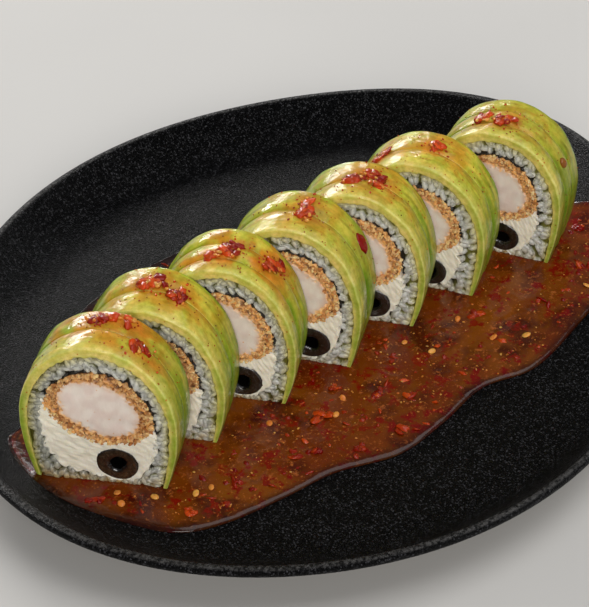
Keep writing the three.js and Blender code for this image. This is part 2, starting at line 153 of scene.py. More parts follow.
# Chilli streaks: roll, share along the arch and of the length at one end, at the other, and number of bits
TOP_STREAKS = (
    (1, 0.48, 0.84, 0.535, 0.72, 13), (1, 0.36, 0.43, 0.4, 0.35, 9), (1, 0.427, 0.92, 0.427, 0.74, 2),
    (2, 0.41, 0.55, 0.445, 0.46, 11), (2, 0.48, 0.66, 0.535, 0.56, 13),
    (3, 0.335, 0.7, 0.385, 0.46, 12), (3, 0.47, 0.6, 0.53, 0.28, 15),
    (4, 0.485, 0.78, 0.47, 0.32, 14),
    (5, 0.45, 0.7, 0.495, 0.64, 6), (5, 0.44, 0.52, 0.45, 0.34, 5), (5, 0.5, 0.54, 0.54, 0.38, 8),
    (6, 0.462, 0.63, 0.474, 0.57, 5), (6, 0.62, 0.5, 0.655, 0.36, 7),
    (7, 0.475, 0.46, 0.52, 0.36, 11), (7, 0.55, 0.48, 0.58, 0.4, 7),
)
STREAK_SPREAD = {"share": 0.009, "along": 0.05}
PEPPER_PER_ROLL = 64
PEPPER_SHARE = {"middle": 0.44, "spread": 0.13}
PEPPER_ALONG = (0.04, 0.96)

# Lone pieces on the avocado: roll, share along the arch, share of the length, half sizes and colour
PEPPER_SKIN = (4, 0.284, 0.77, (4.2, 3.0, 1.1), (140, 14, 5))
BROWN_SEED = (7, 0.271, 0.49, (2.1, 1.6, 1.4), (150, 94, 36))

# Strewn bits: half sizes, height they lie at, dents, curl, deep and pale colour, lean to deep, brightness
BIT_KEYS = ("length", "width", "height", "lift", "dent", "curl", "deep", "pale", "lean", "bright")
RED = ((140, 14, 5), (234, 88, 24))
AMBER = ((224, 116, 38), (240, 176, 84))
BROWN = ((64, 40, 14), (216, 104, 36))
BITS = {
    "sauce_flake": ((1.1, 2.7), (0.8, 1.8), (0.4, 0.7), 0.1, 0.4, 0.7, *RED, 2.2, 0.85),
    "sauce_small_flake": ((0.5, 1.9), (0.4, 1.3), (0.25, 0.45), -0.08, 0.35, 0.5, *RED, 2.2, 0.75),
    "sauce_seed": ((1.3, 1.75), (1.0, 1.3), (0.35, 0.5), 0.3, 0.06, 0.15, *AMBER, 1.0, 1.0),
    "sauce_speck": ((0.2, 0.6), (0.15, 0.45), (0.15, 0.3), 0.05, 0.2, 0.0, *AMBER, 1.0, 0.8),
    "roll_flake": ((1.5, 3.1), (1.2, 2.2), (0.5, 0.8), 0.2, 0.32, 0.4, *RED, 1.0, 1.0),
    "roll_small_flake": ((0.2, 0.7), (0.2, 0.5), (0.2, 0.35), 0.05, 0.25, 0.2, *RED, 1.3, 1.0),
    "roll_seed": ((0.5, 1.2), (0.4, 0.9), (0.3, 0.5), 0.5, 0.15, 0.1, *AMBER, 1.0, 1.0),
    "pepper": ((0.12, 0.4), (0.1, 0.3), (0.1, 0.2), 0.02, 0.25, 0.0, *BROWN, 0.6, 1.0),
}

# Where each random draw starts: rice and crumbs add the roll's number
DRAWS = {"rice": 500, "crumbs": 700, "sauce_flakes": 31, "roll_flakes": 36, "seeds": 32, "pepper": 33}

# Filling: the rounded loop of nori, given by its outside, with a bulge over the olive
FILL = {
    "z": 26, "half_width": 19.5, "up": 21.4, "down": 21.5, "power_up": 2, "power_down": 3,
    "bulge": 2.4, "spread": 0.4,
}
FILL_MODEL_HEIGHT = 57
NORI_THICKNESS = 0.8
NORI_SIDES = 260
CHICKEN = {"x": 0.4, "z": 32.4, "half_width": 18.8, "half_height": 14}
MEAT = {"x": 0.5, "z": 32.2, "half_width": 13.6, "half_height": 9.4, "more_tilt": -8}
CHICKEN_SIDES = 220
CRUMBS_PER_FACE = 560
OLIVE = {"z": 9.6, "half_width": 7.2, "half_height": 6.6, "hole": 0.36}
OLIVE_SIDES = 90
CHEESE_TOP_BELOW_CHICKEN_MIDDLE = 4
CHEESE_SIDES = 200

# Rice: grains in rows between nori and avocado, leaning from the radius, cut flat by the knife
GRAIN_ROWS = (0, 0.5, 1)
GRAIN_ROOM = 4.6
GRAIN_SPACING = 2.6
GRAIN_SLIP = 0.4
GRAIN_STRAY = 0.9
GRAIN_FROM_NORI = 1.05
GRAIN_FROM_AVOCADO = 1.4
GRAIN_HALF = (2.0, 1.1, 1.15)
GRAIN_SIZES = (0.72, 1.25)
GRAIN_LEAN = 36
GRAIN_LEAN_SPREAD = 38
GRAIN_TIP = 0.14
GRAIN_DEPTHS = (1.1, 1.45)
GRAIN_SHADES = (0.92, 1.06)
GRAIN_CUT = 0.4
CORE_SIDES = 380
CORE_ROWS = 15
CORE_DEPTH = 0.68
PIT_DEPTH = 0.9


# Colours are given as seen on a screen and used as light
def light(red, green, blue):
    values = np.array((red, green, blue)) / 255
    return np.where(values <= 0.04045, values / 12.92, ((values + 0.055) / 1.055) ** 2.4)


WHITE = light(255, 255, 255)


def smooth(low, high, value):
    share = np.clip((value - low) / (high - low), 0, 1)
    return share * share * (3 - 2 * share)


def blend(first, second, share):
    share = np.asarray(share)[..., None]
    return first * (1 - share) + second * share


def ripple(points, wavelength, seed, waves=20):
    """A smooth random field over points, with values mostly between -1 and 1."""
    draw = np.random.default_rng(seed)
    headings = draw.normal(size=(waves, points.shape[-1]))
    headings /= np.linalg.norm(headings, axis=1, keepdims=True)
    pace = TAU / (wavelength * draw.uniform(0.7, 1.5, waves))
    phases = draw.uniform(0, TAU, waves)
    return np.sin(points @ (headings * pace[:, None]).T + phases).sum(-1) / math.sqrt(waves)


def spread_out(*coordinates):
    """Points from coordinates of any shapes that fit together."""
    return np.stack(np.broadcast_arrays(*coordinates), -1)


def round_about(sides):
    return np.linspace(0, TAU, sides, endpoint=False)


def on_circle(angle):
    return np.stack([np.cos(angle), np.sin(angle)], -1)


def rotated(angle, first, second):
    """A pair of coordinates turned about their origin."""
    return first * np.cos(angle) - second * np.sin(angle), first * np.sin(angle) + second * np.cos(angle)


def unit(vectors):
    return vectors / np.linalg.norm(vectors, axis=-1, keepdims=True)


# Shapes: vertices, quads, triangles and a tint for each vertex
def shape(vertices, quads=(), triangles=(), tint=None):
    vertices = np.asarray(vertices, float).reshape(-1, 3)
    if tint is None:
        tint = np.ones((len(vertices), 3))
    return {
        "vertices": vertices,
        "quads": np.asarray(quads, int).reshape(-1, 4),
        "triangles": np.asarray(triangles, int).reshape(-1, 3),
        "tint": np.asarray(tint, float).reshape(-1, 3),
    }


def join(shapes):
    starts = np.cumsum([0] + [len(s["vertices"]) for s in shapes])
    joined = {key: np.concatenate([s[key] for s in shapes]) for key in ("vertices", "tint")}
    for key in ("quads", "triangles"):
        joined[key] = np.concatenate([s[key] + start for s, start in zip(shapes, starts)])
    return joined


def grid_quads(rows, columns, around_rows=False, around_columns=False):
    row, column = np.meshgrid(
        np.arange(rows if around_rows else rows - 1),
        np.arange(columns if around_columns else columns - 1),
        indexing="ij",
    )
    next_row = (row + 1) % rows
    next_column = (column + 1) % columns
    corners = (row * columns + column, row * columns + next_column,
               next_row * columns + next_column, next_row * columns + column)
    return np.stack(corners, -1).reshape(-1, 4)


def fan(ring, middle):
    return np.stack([ring, np.roll(ring, -1), np.full(len(ring), middle)], -1)


def with_ends(rings):
    """The values of all rings in one list, and then the mean of the first ring and of the last."""
    return np.concatenate([rings.reshape(-1, 3), [rings[0].mean(0), rings[-1].mean(0)]])


def turned(points, tint=None):
    """A closed skin from rings of points (ring, side, 3), shut at both ends by a middle point."""
    rings, sides, _ = points.shape
    count = rings * sides
    triangles = np.concatenate([
        fan(np.arange(sides), count)[:, ::-1],
        fan(np.arange(count - sides, count), count + 1),
    ])
    if tint is not None:
        tint = with_ends(tint)
    return shape(with_ends(points), grid_quads(rings, sides, around_columns=True), triangles, tint)


def tube(points, tint=None):
    """A closed skin whose rings (ring, side, 3) come back round to the first."""
    rings, sides, _ = points.shape
    return shape(points, grid_quads(rings, sides, True, True), (), tint)


def ball(sides, rings):
    """A unit ball of few faces."""
    up = np.linspace(math.pi, 0, rings + 1)[1:-1, None]
    angle = round_about(sides)[None]
    body = turned(spread_out(np.sin(up) * np.cos(angle), np.sin(up) * np.sin(angle), np.cos(up)))
    body["vertices"][-2:] = ((0, 0, -1), (0, 0, 1))
    return body


def turns_about(draw, count):
    """Random rotations."""
    first = unit(draw.normal(size=(count, 3)))
    second = unit(np.cross(first, draw.normal(size=(count, 3))))
    return np.stack([first, second, np.cross(first, second)], -1)


def flat_turns(draw, count, tip=0.25):
    """Rotations about the upright with a small tip."""
    turn = draw.uniform(0, TAU, count)
    up = unit(np.column_stack([draw.normal(0, tip, (count, 2)), np.ones(count)]))
    first = unit(np.cross(np.column_stack([np.cos(turn), np.sin(turn), np.zeros(count)]), up))
    return np.stack([first, np.cross(up, first), up], -1)


def scatter(body, centres, sizes, rotations, tints, draw, dent=0.0, curl=0.0):
    """Copies of one small body: dented, curled, sized, turned and placed."""
    count = len(centres)
    copies = np.repeat(body["vertices"][None], count, 0)
    copies = copies * (1 + dent * draw.uniform(-1, 1, copies.shape[:2]))[..., None]
    copies[..., 2] += curl * (copies[..., 0] ** 2 - 0.5) * draw.uniform(-1, 1, (count, 1))
    copies = np.einsum("nij,nkj->nki", rotations, copies * sizes[:, None]) + centres[:, None]
    steps = np.arange(count)[:, None, None] * len(body["vertices"])
    return shape(
        copies,
        (body["quads"][None] + steps).reshape(-1, 4),
        (body["triangles"][None] + steps).reshape(-1, 3),
        np.repeat(tints, len(body["vertices"]), 0),
    )


def flipped(body):
    for key in ("quads", "triangles"):
        body[key] = body[key][:, ::-1]
    return body


def facing_out(body):
    corner = body["vertices"]
    volume = 0
    for key in ("quads", "triangles"):
        faces = body[key]
        for k in range(1, faces.shape[1] - 1):
            a, b, c = corner[faces[:, 0]], corner[faces[:, k]], corner[faces[:, k + 1]]
            volume += np.einsum("ij,ij->", a, np.cross(b, c))
    return flipped(body) if volume < 0 else body


def mesh_from(name, body):
    body = facing_out(body)
    mesh = bpy.data.meshes.new(name)
    quads, triangles = body["quads"], body["triangles"]
    corners = np.concatenate([quads.ravel(), triangles.ravel()])
    sizes = np.concatenate([np.full(len(quads), 4), np.full(len(triangles), 3)])
    mesh.vertices.add(len(body["vertices"]))
    mesh.vertices.foreach_set("co", (body["vertices"] * MM).ravel())
    mesh.loops.add(len(corners))
    mesh.loops.foreach_set("vertex_index", corners)
    mesh.polygons.add(len(sizes))
    mesh.polygons.foreach_set("loop_start", np.cumsum(sizes) - sizes)
    mesh.update(calc_edges=True)
    if "path" in body:
        path = mesh.attributes.new("path", "FLOAT_VECTOR", "POINT")
        path.data.foreach_set("vector", (body["path"] * MM).ravel())
    layer = mesh.color_attributes.new("tint", "FLOAT_COLOR", "POINT")
    layer.data.foreach_set("color", np.column_stack([body["tint"], np.ones(len(body["tint"]))]).ravel())
    return mesh


def dress(name, mesh, material, replaced=(), rounded=True):
    """A piece of the object that rides on its one body."""
    piece = bpy.data.objects.new(name, mesh)
    bpy.context.collection.objects.link(piece)
    mesh.materials.clear()
    mesh.materials.append(material)
    mesh.polygons.foreach_set("use_smooth", np.full(len(mesh.polygons), rounded))
    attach(piece, "root")
    if replaced:
        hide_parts(*replaced)


# Materials
class Surface:
    """A procedural material: one shader with textures in the object's own frame."""

    def __init__(self, name, flesh=None, coat=None, **values):
        """Flesh: how much light goes under the surface, and how far. Coat: how wet it is, and how rough."""
        self.material = bpy.data.materials.new(name)
        self.material.use_nodes = True
        self.tree = self.material.node_tree
        self.shader = self.tree.nodes["Principled BSDF"]
        if flesh:
            radius = tuple(depth * MM for depth in flesh[1])
            values = {"Subsurface_Scale": 1.0, **values}
            values.update(Subsurface_Weight=flesh[0], Subsurface_Radius=radius)
        if coat:
            values.update(Coat_Weight=coat[0], Coat_Roughness=coat[1])
        for socket, value in values.items():
            self.shader.inputs[socket.replace("_", " ")].default_value = value
        self.place = self.tree.nodes.new("ShaderNodeTexCoord").outputs["Object"]

    def node(self, kind, **inputs):
        made = self.tree.nodes.new("ShaderNode" + kind)
        for socket, value in inputs.items():
            self.feed(made.inputs[socket.replace("_", " ")], value)
        return made

    def feed(self, socket, value):
        if isinstance(value, bpy.types.NodeSocket):
            self.tree.links.new(value, socket)
        else:
            socket.default_value = value

    def set(self, socket, value):
        self.feed(self.shader.inputs[socket], value)

    def stretched(self, scale, place=None):
        return self.node("Mapping", Vector=place or self.place, Scale=scale).outputs["Vector"]

    def along(self, scale):
        """Where a point lies along and across its slice."""
        made = self.tree.nodes.new("ShaderNodeAttribute")
        made.attribute_name = "path"
        return self.stretched(scale, made.outputs["Vector"])

    def noise(self, size_mm, detail=3.0, rough=0.55, place=None):
        texture = self.node(
            "TexNoise", Vector=place or self.place, Scale=1 / (size_mm * MM), Detail=detail, Roughness=rough)
        return texture.outputs["Fac"]

    def cells(self, size_mm, output="Distance"):
        return self.node("TexVoronoi", Vector=self.place, Scale=1 / (size_mm * MM)).outputs[output]

    def between(self, value, low, high, bottom=0.0, top=1.0):
        made = self.node("MapRange", Value=value)
        for socket, number in zip(("From Min", "From Max", "To Min", "To Max"), (low, high, bottom, top)):
            made.inputs[socket].default_value = number
        return made.outputs["Result"]

    def mixed(self, share, first, second, mode="MIX"):
        made = self.tree.nodes.new("ShaderNodeMix")
        made.data_type = "RGBA"
        made.blend_type = mode
        for socket, value in ((made.inputs[0], share), (made.inputs[6], first), (made.inputs[7], second)):
            self.feed(socket, value if isinstance(value, (float, bpy.types.NodeSocket)) else (*value, 1))
        return made.outputs[2]

    def tint(self):
        made = self.tree.nodes.new("ShaderNodeVertexColor")
        made.layer_name = "tint"
        return made.outputs["Color"]

    def paint(self, shade):
        """Sets the colour to the mesh's own tint under a shade."""
        self.set("Base Color", self.mixed(1.0, shade, self.tint(), "MULTIPLY"))

    def bump(self, height, depth_mm, strength=1.0, onto=None):
        made = self.node("Bump", Height=height, Strength=strength, Distance=depth_mm * MM)
        if onto:
            self.tree.links.new(onto, made.inputs["Normal"])
        return made.outputs["Normal"]


def stoneware():
    s = Surface("stoneware", IOR=1.45, Specular_IOR_Level=0.1)
    grain = s.cells(0.5)
    base = s.mixed(s.noise(45, 3), light(1, 1, 2), light(4, 4, 4))
    # Light grey cells are painted glints: specks of light standing in for the sparkle of the grainy glaze.
    base = s.mixed(s.between(s.cells(0.48, "Color"), 0.7, 0.9), base, light(64, 64, 67))
    # On the crest, where the tint says: a lighter band, partly rubbed glaze and partly painted highlight.
    crest_wear_and_highlight = s.mixed(s.between(s.noise(1.3, 3), 0.4, 0.62), light(22, 22, 22), light(76, 75, 74))
    s.set("Base Color", s.mixed(s.tint(), base, crest_wear_and_highlight))
    s.set("Roughness", s.between(grain, 0.2, 0.7, 0.24, 0.4))
    s.set("Normal", s.bump(grain, 0.5, 1.0))
    return s.material


def sauce_look():
    s = Surface("sauce", (0.12, (3, 1, 0.4)), (0.2, 0.04), Roughness=0.16, IOR=1.38, Specular_IOR_Level=0.3)
    base = s.mixed(s.between(s.noise(24, 2), 0.36, 0.64), light(98, 35, 2), light(116, 58, 8))
    for size, detail, rough, none, full, colour in SAUCE_PATCHES:
        base = s.mixed(s.between(s.noise(size, detail, rough), none, full), base, light(*colour))
    s.paint(base)
    broad = s.bump(s.noise(5, 3), 0.4, 0.5)
    s.set("Normal", s.bump(s.noise(1.6, 3), 0.2, 0.5, broad))
    return s.material


def rice_look():
    s = Surface("rice", (0.75, (2.4, 2.4, 2)), (0.15, 0.15), Roughness=0.36, IOR=1.34)
    s.paint(s.mixed(s.noise(2.4, 3), light(208, 206, 188), light(230, 228, 210)))
    s.set("Normal", s.bump(s.noise(1.1, 2), 0.1, 0.6))
    return s.material


def nori_look():
    s = Surface("nori", Roughness=0.42)
    s.set("Base Color", s.mixed(s.noise(1.5, 3), light(14, 12, 8), light(38, 32, 22)))
    s.set("Normal", s.bump(s.noise(0.8, 3), 0.25, 0.8))
    return s.material


def cheese_look():
    s = Surface("cheese", (0.3, (1.6, 1.3, 0.9)), (0.12, 0.2), Roughness=0.4)
    s.paint(s.mixed(s.noise(4, 3), light(238, 228, 202), light(252, 246, 230)))
    s.set("Normal", s.bump(s.noise(0.8, 4, 0.65), 0.22, 0.7))
    return s.material


def chicken_look():
    s = Surface("chicken", (0.3, (2.2, 1.5, 1.1)), (0.1, 0.25), Roughness=0.45)
    fibre = s.noise(2.2, 4, 0.6, s.stretched((1, 1, 0.5)))
    shade = s.mixed(s.between(fibre, 0.3, 0.7), light(245, 242, 240), WHITE)
    s.paint(s.mixed(s.between(s.cells(3.4), 0.11, 0.05), shade, light(238, 196, 150)))
    s.set("Normal", s.bump(s.noise(0.8, 3), 0.1, 0.5))
    return s.material


def crumb_look():
    s = Surface("crumb", (0.3, (1.4, 0.8, 0.3)), (0.06, 0.3), Roughness=0.5, Specular_IOR_Level=0.2)
    s.paint(s.mixed(s.noise(0.6, 3), light(225, 220, 215), WHITE))
    s.set("Normal", s.bump(s.noise(0.4, 2), 0.08, 0.7))
    return s.material


def olive_look():
    s = Surface("olive", (0.08, (1, 0.6, 0.3)), (0.8, 0.08), Roughness=0.26, Subsurface_Scale=0.05)
    s.paint(s.mixed(s.between(s.noise(1.1, 4, 0.65), 0.3, 0.7), light(160, 156, 150), WHITE))
    s.set("Normal", s.bump(s.noise(1.2, 3), 0.3, 0.8))
    return s.material


def avocado_look():
    s = Surface("avocado", (0.2, (2.5, 2.2, 0.5)), (0.0, 0.04), Roughness=0.38, IOR=1.36,
                Specular_IOR_Level=0.07, Coat_IOR=1.32)
    streak = s.between(s.noise(2.6, 4, 0.6, s.along((0.14, 1, 1))), 0.34, 0.66)
    shade = s.mixed(streak, light(228, 236, 210), light(255, 250, 242))
    patch = s.between(s.noise(6, 3, 0.6), 0.4, 0.62)
    shade = s.mixed(1.0, shade, s.mixed(patch, light(226, 238, 206), light(255, 250, 244)), "MULTIPLY")
    mottle = s.between(s.noise(2.0, 4, 0.65), 0.36, 0.6)
    shade = s.mixed(1.0, shade, s.mixed(mottle, light(230, 228, 200), WHITE), "MULTIPLY")
    s.paint(s.mixed(s.between(s.cells(3.6), 0.12, 0.06), shade, light(196, 140, 80)))
    s.set("Coat Weight", s.between(s.noise(5, 3, 0.6), 0.4, 0.6, 0.2, 0.85))
    s.set("Normal", s.bump(s.noise(1.6, 4, 0.6, s.along((0.2, 1, 1))), 0.08, 0.4))
    wet = s.bump(s.noise(5, 3, 0.6, s.along((0.5, 1, 1))), 0.8, 0.6)
    s.set("Coat Normal", s.bump(s.noise(1.6, 3), 0.24, 0.6, wet))
    return s.material


def chilli_look():
    s = Surface("chilli", (0.4, (1.8, 0.6, 0.2)), (0.3, 0.05), Roughness=0.26, Specular_IOR_Level=0.12)
    s.paint(s.mixed(s.noise(1.2, 3), light(204, 190, 180), WHITE))
    s.set("Normal", s.bump(s.noise(0.8, 2), 0.06, 0.5))
    return s.material


def floor_look():
    s = Surface("pale_floor", Roughness=0.7)
    s.set("Base Color", s.mixed(s.noise(160, 2), light(198, 196, 192), light(206, 204, 200)))
    return s.material


# Plate
def rim_wave(angle):
    return 1 + sum(c * np.cos(n * angle) + s * np.sin(n * angle) for n, c, s in RIM_WAVES)


def plate_points(angle, share, height):
    reach = share * rim_wave(angle)
    x = reach * RIM_HALF_LENGTH * np.cos(angle) - RIM_OFFSET[0]
    y = reach * RIM_HALF_WIDTH * np.sin(angle) - RIM_OFFSET[1]
    return spread_out(x, y, height)


def wall_height(share):
    up = np.maximum(0, (share - WALL_START) / (WALL_END - WALL_START))
    return WELL_Z + WALL_RISE * up ** WALL_POWER


def plate_height(x, y):
    across = (x + RIM_OFFSET[0]) / RIM_HALF_LENGTH
    along = (y + RIM_OFFSET[1]) / RIM_HALF_WIDTH
    return wall_height(np.hypot(across, along) / rim_wave(np.arctan2(along, across)))


def rounded_path(points, rounds=3):
    """Cuts the corners of an open path, keeping its ends."""
    path = np.array(points, float)
    for _ in range(rounds):
        near = path[:-1] * 0.75 + path[1:] * 0.25
        far = path[:-1] * 0.25 + path[1:] * 0.75
        path = np.concatenate([path[:1], np.stack([near, far], 1).reshape(-1, 2)[1:-1], path[-1:]])
    return path


def plate_shape():
    """A profile of share of the rim and height, from under the foot over the lip to the well."""
    crest = WELL_Z + LIP_RISE
    lip_end = WALL_END - 0.006
    outside = rounded_path((
        (0.02, FOOT_RECESS), (0.572, FOOT_RECESS), (0.583, 0), (0.637, 0), (0.66, 1.9), (0.8, 2.9),
        (0.92, 6.6), (0.985, crest - 5), (1.011, crest - 2.6), (1.011, crest - 0.4), (0.997, crest + 0.3),
        (0.984, crest - 0.5), (lip_end, float(wall_height(lip_end))),
    ))
    shares = np.concatenate([np.linspace(WALL_END - 0.01, WALL_START, 22), np.linspace(0.8, 0.02, 26)])
    profile = np.concatenate([outside, np.column_stack([shares, wall_height(shares)])])
    points = plate_points(round_about(PLATE_SIDES)[None], profile[:, :1], profile[:, 1:])
    # A lighter band on the crest: partly rubbed glaze, partly painted highlight along the rim.
    worn = smooth(crest - 0.35, crest + 0.05, points[..., 2:])
    return turned(points, np.repeat(worn, 3, -1))


# Rolls
def roll_list():
    keys = ROLL_KEYS + LOOK_KEYS
    rolls = [dict(zip(keys, sizes + looks)) for sizes, looks in zip(ROLLS, ROLL_LOOKS)]
    for number, roll in enumerate(rolls, 1):
        roll["number"] = number
        roll["name"] = f"roll_{number}"
        roll["scale"] = roll["height"] / FILL_MODEL_HEIGHT
        roll["middle"] = FILL["z"] * roll["scale"]
    return rolls


def over_plate(roll, local):
    """Points of a roll's own frame, turned and moved to its place."""
    x, y = rotated(math.radians(roll["turn"]), local[..., 0], local[..., 1])
    return np.stack([roll["x"] + x, roll["y"] + y, WELL_Z + local[..., 2]], -1)


def on_plate(roll, local):
    """The same, and held above the plate's surface."""
    points = over_plate(roll, local)
    floor = plate_height(points[..., 0], points[..., 1]) + FOOT_GAP
    points[..., 2] = np.maximum(points[..., 2], floor)
    return points


def placed(roll, body, move=on_plate):
    body["vertices"] = move(roll, body["vertices"])
    return body


def mirrored_face(roll, body):
    """Moves a body made at the near cut face to the far one."""
    body["vertices"][:, 1] = roll["length"] - body["vertices"][:, 1]
    return flipped(body)


def both_faces(roll, face_skin):
    """Rings over the near cut face and back over the far one, from the points, depth and tint of each."""
    skins = []
    for face in (0, 1):
        points, depth, tint = face_skin(face)
        points = points.copy()
        points[..., 1] = roll["length"] - depth if face else depth
        skins.append((points, tint))
    (near, near_tint), (far, far_tint) = skins
    return np.concatenate([near, far[::-1]]), np.concatenate([near_tint, far_tint[::-1]])


def arch(roll, y, inset, clear=0.0):
    """Half width, shoulder, rise and half foot of the arch, set in by a share of the avocado."""
    rear = roll["rear_rise"] * y / roll["length"]
    half = roll["width"] / 2 - AVOCADO["side"] * inset - clear
    rise = roll["height"] + rear - roll["shoulder"] - AVOCADO["top"] * inset - clear
    foot = roll["foot"] / 2 - AVOCADO["foot"] * inset - clear
    return half, roll["shoulder"], rise, foot


def arch_half_width(outline, z):
    half, shoulder, rise, foot = outline
    low = foot + (half - foot) * np.sin(np.clip(z / shoulder, 0, 1) * math.pi / 2)
    high = half * np.sqrt(np.maximum(0, 1 - ((z - shoulder) / rise) ** 2))
    return np.where(z < shoulder, low, high)


def arch_point(outline, share):
    """Points on an arch, from the right foot at share 0 over the top to the left foot at share 1."""
    half, shoulder, rise, _ = outline
    side = np.where(share < 0.5, 1, -1)
    up = 1 - np.abs(2 * share - 1)
    low = up < SIDE_SHARE
    angle = np.clip((up - SIDE_SHARE) / (1 - SIDE_SHARE), 0, 1) * math.pi / 2
    z = np.where(low, shoulder * up / SIDE_SHARE, shoulder + rise * np.sin(angle))
    x = np.where(low, arch_half_width(outline, np.minimum(z, shoulder - 1e-6)), half * np.cos(angle))
    return side * x, z


def nori_reach(roll, angle):
    """From the middle of the filling to the outside of the nori."""
    high = np.sin(angle) > 0
    across = np.abs(np.cos(angle)) / FILL["half_width"]
    upright = np.abs(np.sin(angle)) / np.where(high, FILL["up"], FILL["down"])
    power = np.where(high, FILL["power_up"], FILL["power_down"])
    loop = (across ** power + upright ** power) ** (-1 / power)
    to_olive = math.atan2(OLIVE["z"] - FILL["z"], roll["olive"])
    off = np.arctan2(np.sin(angle - to_olive), np.cos(angle - to_olive))
    return (loop + FILL["bulge"] * np.exp(-((off / FILL["spread"]) ** 2))) * roll["scale"]


def rice_reach(roll, angle, y):
    """From the middle of the filling to the inside of the avocado, found by halving."""
    outline = arch(roll, y, 1, FOOT_GAP)
    near = np.zeros_like(angle)
    far = np.full_like(angle, roll["width"])
    for _ in range(30):
        middle = (near + far) / 2
        z = roll["middle"] + middle * np.sin(angle)
        inside = (z > 0) & (np.abs(middle * np.cos(angle)) < arch_half_width(outline, z))
        near = np.where(inside, middle, near)
        far = np.where(inside, far, middle)
    return near


def round_middle(roll, angle, reach, y):
    """Points at a reach from the middle of the filling."""
    return spread_out(reach * np.cos(angle), y, roll["middle"] + reach * np.sin(angle))


# Rice: grains at both cut faces, over a core of packed rice
def grain_row(roll, draw, share):
    """Grains set along a row, share 0 at the nori and 1 at the avocado; between only where it is wide."""
    angle = np.linspace(0, TAU, 1500)
    inner = nori_reach(roll, angle) + GRAIN_FROM_NORI
    outer = rice_reach(roll, angle, np.zeros_like(angle)) - GRAIN_FROM_AVOCADO
    reach = inner + (outer - inner) * share
    steps = np.hypot(np.diff(reach * np.cos(angle)), np.diff(reach * np.sin(angle)))
    gone = np.concatenate([[0], np.cumsum(steps)])
    count = int(gone[-1] / GRAIN_SPACING)
    places = (np.arange(count) + draw.uniform(-GRAIN_SLIP, GRAIN_SLIP, count)) * gone[-1] / count
    kept = (np.interp(places, gone, outer - inner) > GRAIN_ROOM) | (share != 0.5)
    reach = np.interp(places, gone, reach) + draw.uniform(-GRAIN_STRAY, GRAIN_STRAY, count)
    return np.interp(places, gone, angle)[kept], reach[kept]


def grain_layer(roll, draw):
    """Grains at the near cut face, most of them leaning one way."""
    rows = [grain_row(roll, draw, share) for share in GRAIN_ROWS]
    angle = np.concatenate([row[0] for row in rows])
    reach = np.concatenate([row[1] for row in rows])
    count = len(angle)
    centres = round_middle(roll, angle, reach, draw.uniform(*GRAIN_DEPTHS, count))
    lean = angle + np.radians(draw.normal(GRAIN_LEAN, GRAIN_LEAN_SPREAD, count))
    tip = draw.normal(0, GRAIN_TIP, count)
    length = np.column_stack([np.cos(tip) * np.cos(lean), np.sin(tip), np.cos(tip) * np.sin(lean)])
    width = np.column_stack([-np.sin(lean), np.zeros(count), np.cos(lean)])
    turns = np.stack([length, width, np.cross(length, width)], -1)
    sizes = np.array(GRAIN_HALF) * draw.uniform(*GRAIN_SIZES, (count, 3))
    grains = scatter(ball(9, 6), centres, sizes, turns, np.ones((count, 3)), draw, 0.05)
    points = grains["vertices"]
    shade = np.repeat(draw.uniform(*GRAIN_SHADES, count), len(points) // count)
    grains["tint"] = rice_tint(roll, points[:, 0], points[:, 2]) * shade[:, None]
    past_knife = np.minimum(points[:, 1] - GRAIN_CUT, 0)
    points[:, 1] -= 0.8 * past_knife
    points[:, 2] = np.maximum(points[:, 2], FOOT_GAP)
    return grains, np.column_stack([centres[:, 0], centres[:, 2], lean, sizes[:, :2]])


def room_between(flat, seats):
    """How far outside the nearest grain a place on the cut face is: below 1 under a grain."""
    x, z, lean, length, width = seats.T
    along, across = rotated(-lean, flat[..., :1] - x, flat[..., 1:] - z)
    return np.hypot(along / length, across / width).min(-1)


def rice_tint(roll, x, z):
    """Warmer towards the avocado; painted shade at the left and painted light at the right, times the roll's
    painted light; stained by sauce at the foot.
    """
    angle = np.arctan2(z - roll["middle"], x)
    room = rice_reach(roll, angle, np.zeros_like(angle)) - np.hypot(x, z - roll["middle"])
    tint = blend(light(246, 234, 170), light(236, 238, 232), smooth(-0.2, 3.4, room))
    # Painted shade at the left and painted light at the right of the cut face.
    sides = 1 - 0.34 * smooth(-4, -20, x) + 0.12 * smooth(4, 18, x)
    tint = tint * (roll["rice_shade"] * sides)[..., None]
    stain = smooth(8, 1, z) * (0.6 + 0.4 * ripple(np.stack([x, z], -1), 4, 77))
    return blend(tint, light(206, 170, 122), np.clip(stain, 0, 1))


def rice_core(roll, seats):
    """Packed rice between the grains of both faces, sunk into pits where several grains meet, with painted
    shade darkening the pits, near black towards the nori.
    """
    angle = round_about(CORE_SIDES)[None]
    share = np.linspace(0, 1, CORE_ROWS)[:, None]

    def face_skin(face):
        inner = nori_reach(roll, angle) + 0.1
        outer = rice_reach(roll, angle, np.full_like(angle, face * roll["length"])) + FOOT_GAP
        points = round_middle(roll, angle, inner + (outer - inner) * share, 0.0)
        flat = points[..., [0, 2]]
        pit = smooth(0.96, 1.14, room_between(flat, seats[face]))
        depth = CORE_DEPTH + 0.06 * ripple(flat, 2.4, 71 + face) + PIT_DEPTH * pit
        # Painted shade in the pits: near black by the nori, dark olive further out.
        dark = blend(light(30, 27, 18), light(104, 104, 52), smooth(0.1, 0.4, share))
        painted_pit_shade = blend(np.ones(3), dark, pit)
        return points, depth, painted_pit_shade * rice_tint(roll, flat[..., 0], flat[..., 1])

    return tube(*both_faces(roll, face_skin))


def rice_shape(roll):
    draw = np.random.default_rng(DRAWS["rice"] + roll["number"])
    near, near_seats = grain_layer(roll, draw)
    far, far_seats = grain_layer(roll, draw)
    core = rice_core(roll, (near_seats, far_seats))
    return placed(roll, join([facing_out(core), near, mirrored_face(roll, far)]))


